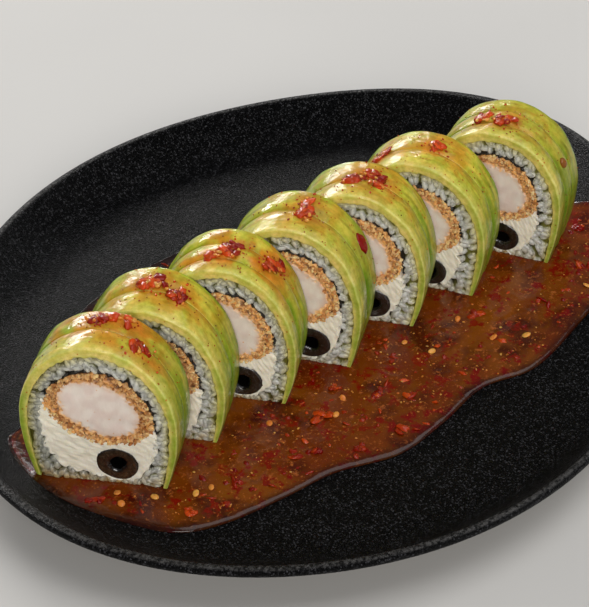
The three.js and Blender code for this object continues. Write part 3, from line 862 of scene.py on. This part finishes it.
# Nori: a thin ragged loop
def nori_shape(roll):
    angle = round_about(NORI_SIDES)
    ring = on_circle(angle)
    reach = nori_reach(roll, angle)
    sunk = 1.0 + 1.8 * smooth(0.1, -0.35, np.sin(angle))
    rows = []
    for edge, face in ((0, 0), (1, 0), (1, 1), (0, 1)):
        ragged = sunk + 0.35 * ripple(ring, 0.5, 40 + roll["number"]) + 0.4 * ripple(ring, 0.11, 47 + face)
        inset = edge * NORI_THICKNESS + 0.16 * ripple(ring, 0.2, 60 + roll["number"] + 5 * edge)
        y = np.maximum(0.3, ragged)
        rows.append(round_middle(roll, angle, reach - inset, roll["length"] - y if face else y))
    return placed(roll, tube(np.stack(rows)))


# Chicken: a pale middle and a craggy crust of crumbs
def ellipse_points(roll, spec, tilt_deg, angle, y, grow=0.0):
    across = (spec["half_width"] * roll["scale"] + grow) * np.cos(angle)
    up = (spec["half_height"] * roll["scale"] + grow) * np.sin(angle)
    x, z = rotated(math.radians(tilt_deg), across, up)
    return spread_out(spec["x"] + x, y, spec["z"] * roll["scale"] + z)


def inside_nori(roll, points, clear=0.2):
    x = points[..., 0]
    up = points[..., 2] - roll["middle"]
    limit = nori_reach(roll, np.arctan2(up, x)) - NORI_THICKNESS - clear
    pull = np.minimum(1, limit / np.maximum(1e-6, np.hypot(x, up)))
    return np.stack([x * pull, points[..., 1], roll["middle"] + up * pull], -1)


def chicken_points(roll, angle, ring, y, clear=0.2):
    """Points of the cut chicken: ring 0 to 1 is the meat, 1 to 2 the crust round it."""
    turn = on_circle(angle)
    wave = 0.4 * ripple(turn, 0.8, 80 + roll["number"]) + 0.2 * ripple(turn, 0.2, 87 + roll["number"])
    meat = ellipse_points(roll, MEAT, roll["tilt"] + MEAT["more_tilt"], angle, y, wave)
    crust = inside_nori(roll, ellipse_points(roll, CHICKEN, roll["tilt"], angle, y), clear)
    middle = np.array((MEAT["x"], 0, MEAT["z"] * roll["scale"]))
    inner = np.clip(ring, 0, 1)[..., None]
    outer = np.maximum(ring - 1, 0)[..., None]
    points = middle + (meat - middle) * inner + (crust - meat) * outer
    return spread_out(points[..., 0], y, points[..., 2])


def toasted(roll, tint, angle):
    """The crust's colour on a roll: lifted by the roll's painted light and paler below, which is painted
    light and shade.
    """
    pale = roll["crust_pale"] + 0.35 * smooth(0.1, -0.6, np.sin(angle))
    cream = light(255, 220, 160)
    return blend(np.minimum(tint * (1 + 0.7 * pale[..., None]), cream), cream, 0.16 * pale)


def chicken_shape(roll):
    ring = np.concatenate([np.linspace(0.05, 0.9, 12), np.linspace(0.94, 2.0, 30)])
    ring, angle = np.meshgrid(ring, round_about(CHICKEN_SIDES), indexing="ij")
    points = chicken_points(roll, angle, ring, np.zeros_like(ring))
    crust = smooth(1.0, 1.16, ring + 0.1 * ripple(points, 1.7, 124))

    def face_skin(face):
        rough = 0.6 * ripple(points, 2.2, 120 + face) + 0.4 * ripple(points, 1.0, 121 + face)
        crag = 0.6 + 0.65 * rough
        meat = 0.22 + 0.07 * ripple(points, 6, 122 + face)
        depth = np.maximum(0.03, meat * (1 - crust) + crag * crust)
        # Deeper hollows of the crust are painted darker: painted shade in its hollows over the toasted gold.
        gold_and_hollow_shade = blend(light(206, 142, 72), light(92, 46, 10), smooth(-0.7, 0.7, rough))
        flesh = blend(light(240, 228, 216), light(232, 214, 202), smooth(-1, 1, ripple(points, 5, 131)))
        flesh = blend(flesh, light(222, 184, 150), 0.5 * smooth(0.86, 1.02, ring))
        soft = blend(light(206, 162, 116), gold_and_hollow_shade, smooth(1.05, 1.4, ring))
        return points, depth, blend(flesh, toasted(roll, soft, angle), crust)

    return placed(roll, turned(*both_faces(roll, face_skin)))


def crumb_layer(roll, draw):
    """Crumbs over the crust at the near cut face."""
    count = CRUMBS_PER_FACE
    angle = draw.uniform(0, TAU, count)
    ring = 1.1 + 0.93 * draw.uniform(0, 1, count) ** 0.6
    centres = chicken_points(roll, angle, ring, draw.uniform(-0.05, 0.7, count), 0.0)
    size = (0.22 + 0.55 * draw.uniform(0, 1, (count, 1)) ** 1.6) * draw.uniform(0.5, 1.5, (count, 3))
    pale = draw.uniform(0, 1, count) * (0.6 + 0.4 * smooth(1.3, 1.9, ring))
    tints = toasted(roll, blend(light(142, 78, 24), light(254, 206, 142), pale), angle)
    return scatter(ball(6, 4), centres, size, turns_about(draw, count), tints, draw, 0.5)


def crumb_shape(roll):
    draw = np.random.default_rng(DRAWS["crumbs"] + roll["number"])
    near = crumb_layer(roll, draw)
    far = mirrored_face(roll, crumb_layer(roll, draw))
    return placed(roll, join([near, far]))


# Olive: a ring with a dark skin, brown flesh and a wet hole whose lining is darkened as painted shade
def olive_points(roll, angle, y, reach):
    return spread_out(
        roll["olive"] + reach * OLIVE["half_width"] * roll["scale"] * np.cos(angle),
        y,
        OLIVE["z"] * roll["scale"] + reach * OLIVE["half_height"] * roll["scale"] * np.sin(angle),
    )


def olive_shape(roll):
    """A path of share and depth from inside the hole over the near face, and back over the far one."""
    hole = OLIVE["hole"]
    path = np.array((
        (hole, 6), (hole, 2.5), (hole, 1.2), (hole + 0.02, 0.7), (hole + 0.07, 0.42),
        (0.5, 0.3), (0.62, 0.26), (0.74, 0.24), (0.84, 0.22), (0.91, 0.24),
        (0.96, 0.36), (0.99, 0.65), (1.0, 1.2), (1.0, 3), (1.0, 6),
    ))
    path = np.concatenate([path, np.column_stack([path[::-1, 0], roll["length"] - path[::-1, 1]])])
    share = path[:, :1]
    angle = round_about(OLIVE_SIDES)[None]
    turn = on_circle(angle)
    hole_wave = 1 + 0.12 * ripple(turn, 2.6, 140 + roll["number"]) + 0.03 * ripple(turn, 0.5, 141)
    skin_wave = 1 + 0.018 * ripple(turn, 1.1, 142 + roll["number"])
    points = olive_points(roll, angle, path[:, 1:], share * np.where(share < 0.45, hole_wave, skin_wave))
    # Near black at the outside is the olive's skin; near black lining the hole and fading out over the inner
    # face is painted shade.
    flesh = smooth(hole + 0.02, 0.6, share) * smooth(0.99, 0.88, share)
    flesh = np.broadcast_to(flesh, points.shape[:2]) * (0.85 + 0.2 * ripple(points, 2.2, 143))
    brown = light(70, 54, 38) if roll["number"] == 1 else light(46, 39, 30)
    tint = blend(light(12, 10, 8), brown, np.clip(flesh, 0, 1))
    return placed(roll, tube(inside_nori(roll, points, 0.1), tint))


# Cheese: a block in the nori, cut round chicken and olive
def cheese_block(roll):
    """The cheese smeared by the knife at both cut faces, with a torn edge."""
    angle = round_about(CHEESE_SIDES)[None]
    shares = np.concatenate([np.linspace(0.03, 0.9, 46), np.linspace(0.915, 1, 8)])[:, None]
    reach = nori_reach(roll, angle) - NORI_THICKNESS + 0.15
    slope_deg, ridge = (-12, 0.12) if roll["number"] == 1 else (-58, 0.19)

    def face_skin(face):
        torn = 0.6 + 0.7 * ripple(on_circle(angle), 0.12, 230 + roll["number"] + face)
        points = round_middle(roll, angle, shares * reach + torn * smooth(0.88, 1, shares), 0.0)
        drawn, across = rotated(-math.radians(slope_deg), points[..., 0], points[..., 2])
        smear = 0.45 + ridge * ripple(np.stack([drawn / 5, across], -1), 1.1, 210 + face + roll["number"])
        worn = 0.12 * ripple(points, 4, 215 + face) + 0.3 * smooth(0.93, 1, shares) * ripple(points, 1.1, 220)
        return points, np.maximum(0.02, smear + worn), np.ones(points.shape)

    return turned(*both_faces(roll, face_skin))


def cheese_cutters(roll):
    def chicken(angle, y):
        return inside_nori(roll, ellipse_points(roll, CHICKEN, roll["tilt"], angle, y, -0.25), -2)

    def olive(angle, y):
        return olive_points(roll, angle, y, 0.98)

    def above(angle, y):
        reach = 60
        x = reach * np.cos(angle + TAU / 8)
        z = reach * np.sin(angle + TAU / 8) + reach / math.sqrt(2) - CHEESE_TOP_BELOW_CHICKEN_MIDDLE
        x, z = rotated(math.radians(roll["tilt"]), x, z)
        return spread_out(CHICKEN["x"] + x, y, CHICKEN["z"] * roll["scale"] + z)

    def prism(points_at, sides):
        angle = round_about(sides)[None]
        return turned(np.concatenate([points_at(angle, -1.0), points_at(angle, roll["length"] + 1.0)]))

    return [prism(chicken, 96), prism(olive, 64), prism(above, 4)]


def cut_mesh(name, block, cutters):
    """The block's mesh with the cutters taken away."""
    made = []
    for body in [block] + cutters:
        made.append(bpy.data.objects.new(name, mesh_from(name, body)))
        bpy.context.collection.objects.link(made[-1])
    for cutter in made[1:]:
        step = made[0].modifiers.new("cut", "BOOLEAN")
        step.operation = "DIFFERENCE"
        step.solver = "MANIFOLD"
        step.object = cutter
    bpy.context.view_layer.update()
    whole = made[0].evaluated_get(bpy.context.evaluated_depsgraph_get())
    mesh = bpy.data.meshes.new_from_object(whole)
    for each in made:
        bpy.data.objects.remove(each)
    return mesh


def cheese_mesh(roll):
    cutters = [placed(roll, cutter, over_plate) for cutter in cheese_cutters(roll)]
    return cut_mesh(f"{roll['name']}_cheese", placed(roll, cheese_block(roll), over_plate), cutters)


# Avocado: slices draped over the roll side by side
def seam_at(roll, number, share):
    if number == 0:
        return np.zeros_like(share)
    if number == roll["slices"]:
        return np.full_like(share, roll["length"])
    wander = 0.5 * np.sin(9 * share + 2 * roll["number"] + number)
    return roll["length"] * number / roll["slices"] + SLICE_SLANT * (0.5 - share) + wander


def slice_section():
    """Round the section of a slice: share across and depth, from the inside edge of the near face."""
    near = [(0.0, d) for d in np.linspace(0.02, 0.86, 8)]
    corner = [(0.004, 0.9), (0.014, 0.955), (0.03, 0.985)]
    top = [(a, 1.0) for a in np.linspace(0.05, 0.95, 30)]
    far = [(1 - a, d) for a, d in (near + corner)[::-1]]
    inside = [(a, 0.0) for a in np.linspace(0.97, 0.03, 6)]
    return np.array(near + corner + top + far + inside)


def skin_warmth(roll, number, across):
    """How yellow a slice is across its width: green where it had its skin."""
    if number == 0:
        places, values = (0, 0.1, 0.35, 0.7, 1), (0.85, 0.9, 1.0, 0.85, 0.55)
    elif number == roll["slices"] - 1:
        places, values = (0, 0.2, 0.45, 0.65, 0.85, 1), (0.55, 0.8, 0.95, 0.9, 0.6, 0.25)
    else:
        places, values = (0, 0.25, 0.55, 0.8, 1), (0.55, 0.85, 0.95, 0.8, 0.5)
    return np.interp(across, places, values)


def along_streak(streak, t):
    """Shares of the arch and of the length at a share t of a streak of chilli."""
    _, share_a, along_a, share_b, along_b, _ = streak
    return share_a + (share_b - share_a) * t, along_a + (along_b - along_a) * t


def near_streaks(roll, share, y, reach):
    """How near a place on the arch is to chilli, from 0 to 1."""
    near = np.zeros_like(y)
    for streak in TOP_STREAKS:
        if streak[0] == roll["number"]:
            for t in (0.15, 0.5, 0.85):
                share_there, along_there = along_streak(streak, t)
                off_share = (share - share_there) * ARCH_LENGTH / 1.4
                off_y = y - along_there * roll["length"]
                near = np.maximum(near, np.exp(-(off_share ** 2 + off_y ** 2) / reach ** 2))
    return near


def skin_tint(roll, number, share, across, points):
    """The outside: green at the sides and the skin edge, yellow over the top, golden under the glaze; painted
    shade on the right flank, painted light left of the top, a colour offset on the left flank against the
    floor's reflection, and a pale front corner that is partly painted highlight.
    """
    y = points[..., 1]
    seed = 300 + 10 * roll["number"] + number
    side = np.abs(2 * share - 1)
    drawn = np.stack([y, share * ARCH_LENGTH * 0.14], -1)
    streak = ripple(drawn, 3.4, seed) + 0.6 * ripple(drawn, 1.5, seed + 5)
    warm = skin_warmth(roll, number, across) - 0.6 * smooth(0.2, 0.8, side)
    warm = warm - 0.4 * smooth(0.55, 0.72, share) + 0.13 * streak
    green, yellow, leaf = light(182, 192, 68), light(226, 212, 92), light(146, 178, 58)
    skin = blend(green, yellow, smooth(0.3, 0.95, warm))
    skin = blend(skin, leaf, smooth(0.45, 0.0, warm))
    dull = smooth(0.3, 1.5, ripple(drawn, 2.6, seed + 7) + 0.5 * ripple(points, 3, seed + 8))
    skin = blend(skin, light(160, 126, 42), 0.4 * dull * smooth(0.95, 0.4, side))
    patch = 0.3 * ripple(points, 9, 330 + roll["number"]) + 0.16 * ripple(points, 3.2, 331 + roll["number"])
    glaze = smooth(0.2, 0.9, near_streaks(roll, share, y, 11) + patch) * smooth(0.2, 0.36, share)
    skin = blend(skin, light(218, 150, 46), 0.85 * roll["glaze"] * glaze)
    oil = near_streaks(roll, share, y, 4) * smooth(-0.9, 0.4, patch * 3)
    skin = blend(skin, light(216, 104, 38), 0.7 * oil)
    # Painted shade down the right flank and painted light just left of the top, then the roll's painted
    # light.
    shade = 1 - 0.2 * smooth(0.42, 0.26, share) + 0.05 * smooth(0.44, 0.52, share)
    skin = skin * (roll["slice_shade"] * shade)[..., None]
    # The left flank made yellower and less blue to cancel the pale floor's reflection on it: painted colour
    # against a reflection.
    flank_reflection_offset = blend(np.array((0.94, 1.0, 0.42)), np.array((1.04, 0.94, 0.75)), smooth(0.68, 0.8, share))
    skin = skin * blend(np.ones(3), flank_reflection_offset, smooth(0.58, 0.7, share))
    rim = smooth(6, 1.5, y) * (1 - 0.4 * glaze) * smooth(0.95, 0.5, side)
    skin = blend(skin, light(248, 226, 138), 0.65 * rim)
    # The pale line along the front corner: partly the flesh's paler edge, partly a painted highlight on the
    # rounded corner.
    return blend(skin, light(250, 240, 176), 0.55 * smooth(1.4, 0.4, y))


def cut_tint(share, depth):
    """The cut faces: cream over the top, green at the sides, with a pale edge that is partly painted
    highlight.
    """
    low = smooth(0.2, 0.8, np.abs(2 * share - 1))
    cut = blend(light(244, 222, 146), light(238, 220, 126), smooth(0.2, 0.9, depth))
    cut = blend(cut, light(172, 186, 80), low * smooth(-0.3, 0.9, depth))
    cut = blend(cut, light(150, 168, 66), 0.7 * smooth(0.66, 0.82, share) * smooth(-0.2, 0.8, depth))
    # The pale edge by the corner: partly the flesh's own colour, partly painted highlight.
    return blend(cut, light(250, 240, 176), 0.55 * smooth(0.84, 0.97, depth))


def slice_fall(roll, number, across):
    """How far the top of a slice falls from its middle to its edges."""
    near = roll["seam_fall"] if number > 0 else EDGE_FALL
    far = roll["seam_fall"] if number < roll["slices"] - 1 else EDGE_FALL
    off = 2 * across - 1
    return np.where(off < 0, near, far) * np.abs(off) ** 2.4


def slice_shape(roll, number):
    section = slice_section()
    share = np.linspace(0, 1, SLICE_STEPS)
    share, across = np.meshgrid(share, section[:, 0], indexing="ij")
    depth = np.broadcast_to(section[:, 1], share.shape)
    near = seam_at(roll, number, share)
    far = seam_at(roll, number + 1, share)
    y = near + (far - near) * across
    frayed = 0.1 * ripple(np.stack([share * ARCH_LENGTH, y], -1), 2.6, 353 + roll["number"])
    inset = 1 - depth + frayed * smooth(0.35, 0, depth) * smooth(0.03, 0, across)
    x, z = arch_point(arch(roll, y, inset, slice_fall(roll, number, across) * depth), share)
    points = np.stack([x, y, z], -1)
    swell = depth * (0.16 * ripple(points, 14, 350 + roll["number"]) + 0.04 * ripple(points, 5, 351 + number))
    uneven = 0.12 * ripple(points, 4, 352) * np.where(across < 0.03, 1, 0) * (number == 0)
    rise = np.clip((z - 6) / 8, 0, 1)
    points[..., 0] += np.sign(x) * swell * rise * np.abs(x) / 30
    points[..., 2] += swell * rise
    points[..., 1] += uneven
    face = smooth(0.02, 0.0, across) + smooth(0.98, 1.0, across)
    skin = skin_tint(roll, number, share, across, points)
    body = turned(points, blend(skin, cut_tint(share, depth), np.clip(face, 0, 1)))
    body["path"] = with_ends(np.stack([share * ARCH_LENGTH, y, 4.0 * depth], -1))
    return placed(roll, body)


# Sauce: a pool with a rounded edge that climbs a little where it meets the rolls
def closed_curve(points, count):
    """A smooth closed curve through the points."""
    points = np.array(points, float)
    place = np.linspace(0, len(points), count, endpoint=False)
    start = place.astype(int)
    t = (place - start)[:, None]
    before, here, there, after = (points[(start + k) % len(points)] for k in (-1, 0, 1, 2))
    return 0.5 * (2 * here + (there - before) * t + (2 * before - 5 * here + 4 * there - after) * t ** 2
                  + (3 * here - before - 3 * there + after) * t ** 3)


def sauce_spokes():
    """From the middle of the pool to points along its edge."""
    return closed_curve(SAUCE_EDGE, SAUCE_SIDES) - np.array(SAUCE_CENTRE)


def away_from_rolls(rolls, x, y):
    """Distance to the nearest roll's standing room, below zero inside it."""
    nearest = np.full(x.shape, 1e3)
    for roll in rolls:
        half = roll["length"] / 2
        across, along = rotated(-math.radians(roll["turn"]), x - roll["x"], y - roll["y"])
        out = np.stack([np.abs(across) - roll["foot"] / 2, np.abs(along - half) - half])
        distance = np.hypot(*np.maximum(out, 0)) + np.minimum(out.max(0), 0)
        nearest = np.minimum(nearest, distance)
    return nearest


def sauce_surface(rolls, x, y, inward):
    """Height of the sauce, given how far in from its edge a point is; lively at its left end."""
    flat = np.stack([x, y], -1)
    steep = np.sqrt(1 - (1 - np.clip(inward / SAUCE_ROUNDING, 0, 1)) ** 2)
    behind = smooth(-10, 20, y - SAUCE_CENTRE[1] + 0.25 * (x - SAUCE_CENTRE[0]))
    edge = steep + (smooth(-1, SAUCE_FEATHER, inward) - steep) * behind
    away = away_from_rolls(rolls, x, y)
    climb = SAUCE_CLIMB * np.exp(-np.maximum(away, 0) / SAUCE_CLIMB_REACH)
    swell = 0.07 * ripple(flat, 13, 400) + 0.06 * ripple(flat, 5, 401)
    lively = smooth(-108, -118, x) * (0.2 + 0.16 * ripple(flat, 5, 402))
    level = WELL_Z + (SAUCE_LEVEL + swell + climb) * edge
    level = np.where(away < -1.2, WELL_Z + 0.15, level)
    return np.maximum(level, plate_height(x, y) + 0.05 + (0.3 + lively) * edge)


def sauce_tint(x, y, inward):
    """Darker where it is thin: at its edge and behind the rolls; browner at its left end."""
    shallow = smooth(30, 62, y) * smooth(-116, -100, x)
    thick = (0.25 + 0.75 * smooth(0, 6, inward)) * (1 - 0.65 * shallow)
    brown = smooth(38, 48, y) * smooth(-104, -116, x)
    return thick[..., None] * blend(np.ones(3), np.array((0.8, 1.6, 1.4)), brown)


def sauce_shape(rolls):
    spokes = sauce_spokes()
    reach = np.linalg.norm(spokes, axis=1)[None]
    steps = np.concatenate([SAUCE_EDGE_STEPS, np.linspace(5, 130, 96)])[:, None]
    share = np.maximum(1 - steps / reach, 0.01 * (1 - steps / 140))
    xy = np.array(SAUCE_CENTRE) + spokes[None] * share[..., None]
    x, y = xy[..., 0], xy[..., 1]
    upper = np.dstack([xy, sauce_surface(rolls, x, y, steps)])
    floor = np.maximum(WELL_Z, plate_height(x, y)) + 0.04
    lower = np.dstack([xy, floor])[::4]
    tint = np.concatenate([np.ones(lower.shape), sauce_tint(x, y, steps)])
    return turned(np.concatenate([lower[::-1], upper]), tint)


# Chilli: flakes, seeds and specks in the sauce and on the avocado
def bits(draw, count, kind):
    """What one kind of bit is like, and the sizes and tints of some."""
    bit = dict(zip(BIT_KEYS, BITS[kind]))
    sizes = np.column_stack([draw.uniform(*bit[key], count) for key in ("length", "width", "height")])
    share = draw.uniform(0, 1, count) ** bit["lean"]
    return bit, sizes, bit["bright"] * blend(light(*bit["deep"]), light(*bit["pale"]), share)


def on_sauce(draw, spots, kind):
    """Bits lying in the sauce."""
    count = len(spots)
    bit, sizes, tints = bits(draw, count, kind)
    level = np.maximum(WELL_Z + SAUCE_LEVEL, plate_height(spots[:, 0], spots[:, 1]) + 0.5)
    centres = np.column_stack([spots, level + bit["lift"]])
    turns = flat_turns(draw, count)
    return scatter(ball(11, 7), centres, sizes, turns, tints, draw, bit["dent"], bit["curl"])


def sauce_spots(rolls, draw, count):
    """Random places in the pool, clear of its edge and of the rolls."""
    side = draw.integers(0, SAUCE_SIDES, 4 * count)
    share = np.sqrt(draw.uniform(0, 1, 4 * count))[:, None] * SPOT_REACH
    spots = np.array(SAUCE_CENTRE) + sauce_spokes()[side] * share
    clear = away_from_rolls(rolls, spots[:, 0], spots[:, 1]) > SPOT_FROM_ROLLS
    return spots[clear][:count]


def arch_frames(roll, share, along):
    """Points and rotations on the outside of a roll, with the third axis pointing out."""
    y = along * roll["length"]
    outline = arch(roll, y, 0)
    places = [arch_point(outline, s) for s in (share, share + 0.004)]
    here, ahead = (np.stack([x, y, z], -1) for x, z in places)
    back = unit(ahead - here)
    out = np.cross(np.broadcast_to((0.0, 1.0, 0.0), back.shape), back)
    out *= np.where(np.sum(out * (here - (0, 0, roll["middle"])), -1, keepdims=True) < 0, -1, 1)
    return here, np.stack([back, np.cross(out, back), out], -1)


def on_roll(draw, roll, share, along, kind):
    """Bits lying on the avocado."""
    count = len(share)
    bit, sizes, tints = bits(draw, count, kind)
    centres, frames = arch_frames(roll, share, along)
    centres = centres + frames[..., 2] * bit["lift"]
    turns = frames @ flat_turns(draw, count)
    return placed(roll, scatter(ball(10, 6), centres, sizes, turns, tints, draw, bit["dent"], bit["curl"]))


def lone_piece(rolls, draw, piece):
    """One piece lying on a roll, with its length along the arch."""
    number, share, along, half, colour = piece
    roll = rolls[number - 1]
    centres, frames = arch_frames(roll, np.array([share]), np.array([along]))
    body = scatter(ball(14, 8), centres, np.array([half]), frames, light(*colour)[None], draw, 0.08)
    return placed(roll, body)


def streak_spots(draw, streak, count, loose):
    """Places strewn along a streak of chilli on a roll."""
    shares, alongs = along_streak(streak, draw.uniform(0, 1, count))
    shares = shares + loose * draw.normal(0, STREAK_SPREAD["share"], count)
    alongs = alongs + loose * draw.normal(0, STREAK_SPREAD["along"], count)
    return shares, np.clip(alongs, 0.05, 0.95)


def chilli_shape(rolls):
    draw = np.random.default_rng(DRAWS["sauce_flakes"])
    spots = np.repeat(np.array(SAUCE_FLAKES, float), FLAKES_IN_CLUMP, 0)
    spots += draw.normal(0, CLUMP_SPREAD, spots.shape)
    bodies = [on_sauce(draw, spots, "sauce_flake")]
    bodies.append(on_sauce(draw, sauce_spots(rolls, draw, SMALL_FLAKES), "sauce_small_flake"))
    draw = np.random.default_rng(DRAWS["roll_flakes"])
    for streak in TOP_STREAKS:
        roll = rolls[streak[0] - 1]
        flakes = 1 + streak[-1] * 2 // 3
        for count, loose, kind in ((flakes, 0.8, "roll_flake"), (2 * flakes, 2.4, "roll_small_flake")):
            bodies.append(on_roll(draw, roll, *streak_spots(draw, streak, count, loose), kind))
    return join(bodies + [lone_piece(rolls, draw, PEPPER_SKIN)])


def seed_shape(rolls):
    draw = np.random.default_rng(DRAWS["seeds"])
    bodies = [on_sauce(draw, np.array(SAUCE_SEEDS, float), "sauce_seed")]
    bodies.append(on_sauce(draw, sauce_spots(rolls, draw, SMALL_SPECKS), "sauce_speck"))
    for streak in TOP_STREAKS:
        roll = rolls[streak[0] - 1]
        spots = streak_spots(draw, streak, 3 + streak[-1] // 2, 1.2)
        bodies.append(on_roll(draw, roll, *spots, "roll_seed"))
    return join(bodies + [lone_piece(rolls, draw, BROWN_SEED)])


def pepper_shape(rolls):
    """Brown and orange specks on the glaze."""
    draw = np.random.default_rng(DRAWS["pepper"])
    bodies = []
    for roll in rolls:
        shares = draw.normal(PEPPER_SHARE["middle"], PEPPER_SHARE["spread"], PEPPER_PER_ROLL)
        alongs = draw.uniform(*PEPPER_ALONG, PEPPER_PER_ROLL)
        bodies.append(on_roll(draw, roll, shares, alongs, "pepper"))
    return join(bodies)


# Stage
def point_at(holder, place, aim):
    holder.location = place
    heading = holder.location - Vector(aim)
    holder.rotation_mode = "QUATERNION"
    holder.rotation_quaternion = heading.to_track_quat("Z", "Y")


def area_light(name, place, aim, size, power, colour):
    lamp = bpy.data.lights.new(name, "AREA")
    lamp.shape = "RECTANGLE"
    lamp.size, lamp.size_y = size
    lamp.energy = power
    lamp.color = colour
    holder = bpy.data.objects.new(name, lamp)
    bpy.context.collection.objects.link(holder)
    point_at(holder, place, aim)


def stage():
    mesh = bpy.data.meshes.new("floor")
    corners = [(x * FLOOR_HALF, y * FLOOR_HALF, 0) for x, y in ((-1, -1), (1, -1), (1, 1), (-1, 1))]
    mesh.from_pydata(corners, [], [(0, 1, 2, 3)])
    floor = bpy.data.objects.new("floor", mesh)
    bpy.context.collection.objects.link(floor)
    mesh.materials.append(floor_look())
    world = bpy.data.worlds.new("studio")
    world.use_nodes = True
    sky = world.node_tree.nodes["Background"].inputs
    sky["Color"].default_value = SKY_COLOUR
    sky["Strength"].default_value = SKY_STRENGTH
    bpy.context.scene.world = world
    for name, values in LIGHTS.items():
        area_light(name, *values)


def camera():
    azimuth = math.radians(VIEW_AZIMUTH)
    rise = math.radians(VIEW_ELEVATION)
    back = np.array((math.sin(azimuth) * math.cos(rise), -math.cos(azimuth) * math.cos(rise), math.sin(rise)))
    lens = bpy.data.cameras.new("camera")
    lens.sensor_width = SENSOR
    lens.lens = FOCAL_PIXELS / PHOTO_HEIGHT * SENSOR
    lens.clip_end = VIEW_END * MM
    holder = bpy.data.objects.new("camera", lens)
    bpy.context.collection.objects.link(holder)
    target = np.array(VIEW_TARGET) * MM
    point_at(holder, tuple(target + back * VIEW_DISTANCE * MM), tuple(target))
    bpy.context.scene.camera = holder


def roll_pieces(roll, looks):
    name = roll["name"]

    def piece(ending, node, mesh):
        dress(f"{name}_{ending}", mesh, looks[node], [f"{name}_{node}"])

    piece("rice_grains", "rice", mesh_from(name, rice_shape(roll)))
    piece("nori_loop", "nori", mesh_from(name, nori_shape(roll)))
    piece("cheese_fill", "cheese", cheese_mesh(roll))
    piece("chicken_meat", "chicken", mesh_from(name, chicken_shape(roll)))
    dress(f"{name}_crumbs", mesh_from(name, crumb_shape(roll)), looks["crumb"], rounded=False)
    piece("olive_ring", "olive", mesh_from(name, olive_shape(roll)))
    for number in range(roll["slices"]):
        mesh = mesh_from(name, slice_shape(roll, number))
        node = f"{name}_avocado_{number + 1}"
        dress(f"{name}_slice_{number + 1}", mesh, looks["avocado"], [node])


def build():
    rolls = roll_list()
    looks = {
        "rice": rice_look(), "nori": nori_look(), "cheese": cheese_look(), "chicken": chicken_look(),
        "crumb": crumb_look(), "olive": olive_look(), "avocado": avocado_look(), "chilli": chilli_look(),
    }
    camera()
    stage()
    dress("plate_glaze", mesh_from("plate_glaze", plate_shape()), stoneware(), ["plate"])
    dress("sauce_pool", mesh_from("sauce_pool", sauce_shape(rolls)), sauce_look(), ["sauce"])
    for roll in rolls:
        roll_pieces(roll, looks)
    toppings = {"chilli_flakes": chilli_shape, "chilli_seeds": seed_shape, "pepper_specks": pepper_shape}
    for name, make in toppings.items():
        dress(name, mesh_from(name, make(rolls)), looks["chilli"])
    bpy.context.scene.view_settings.view_transform = "Standard"


build()
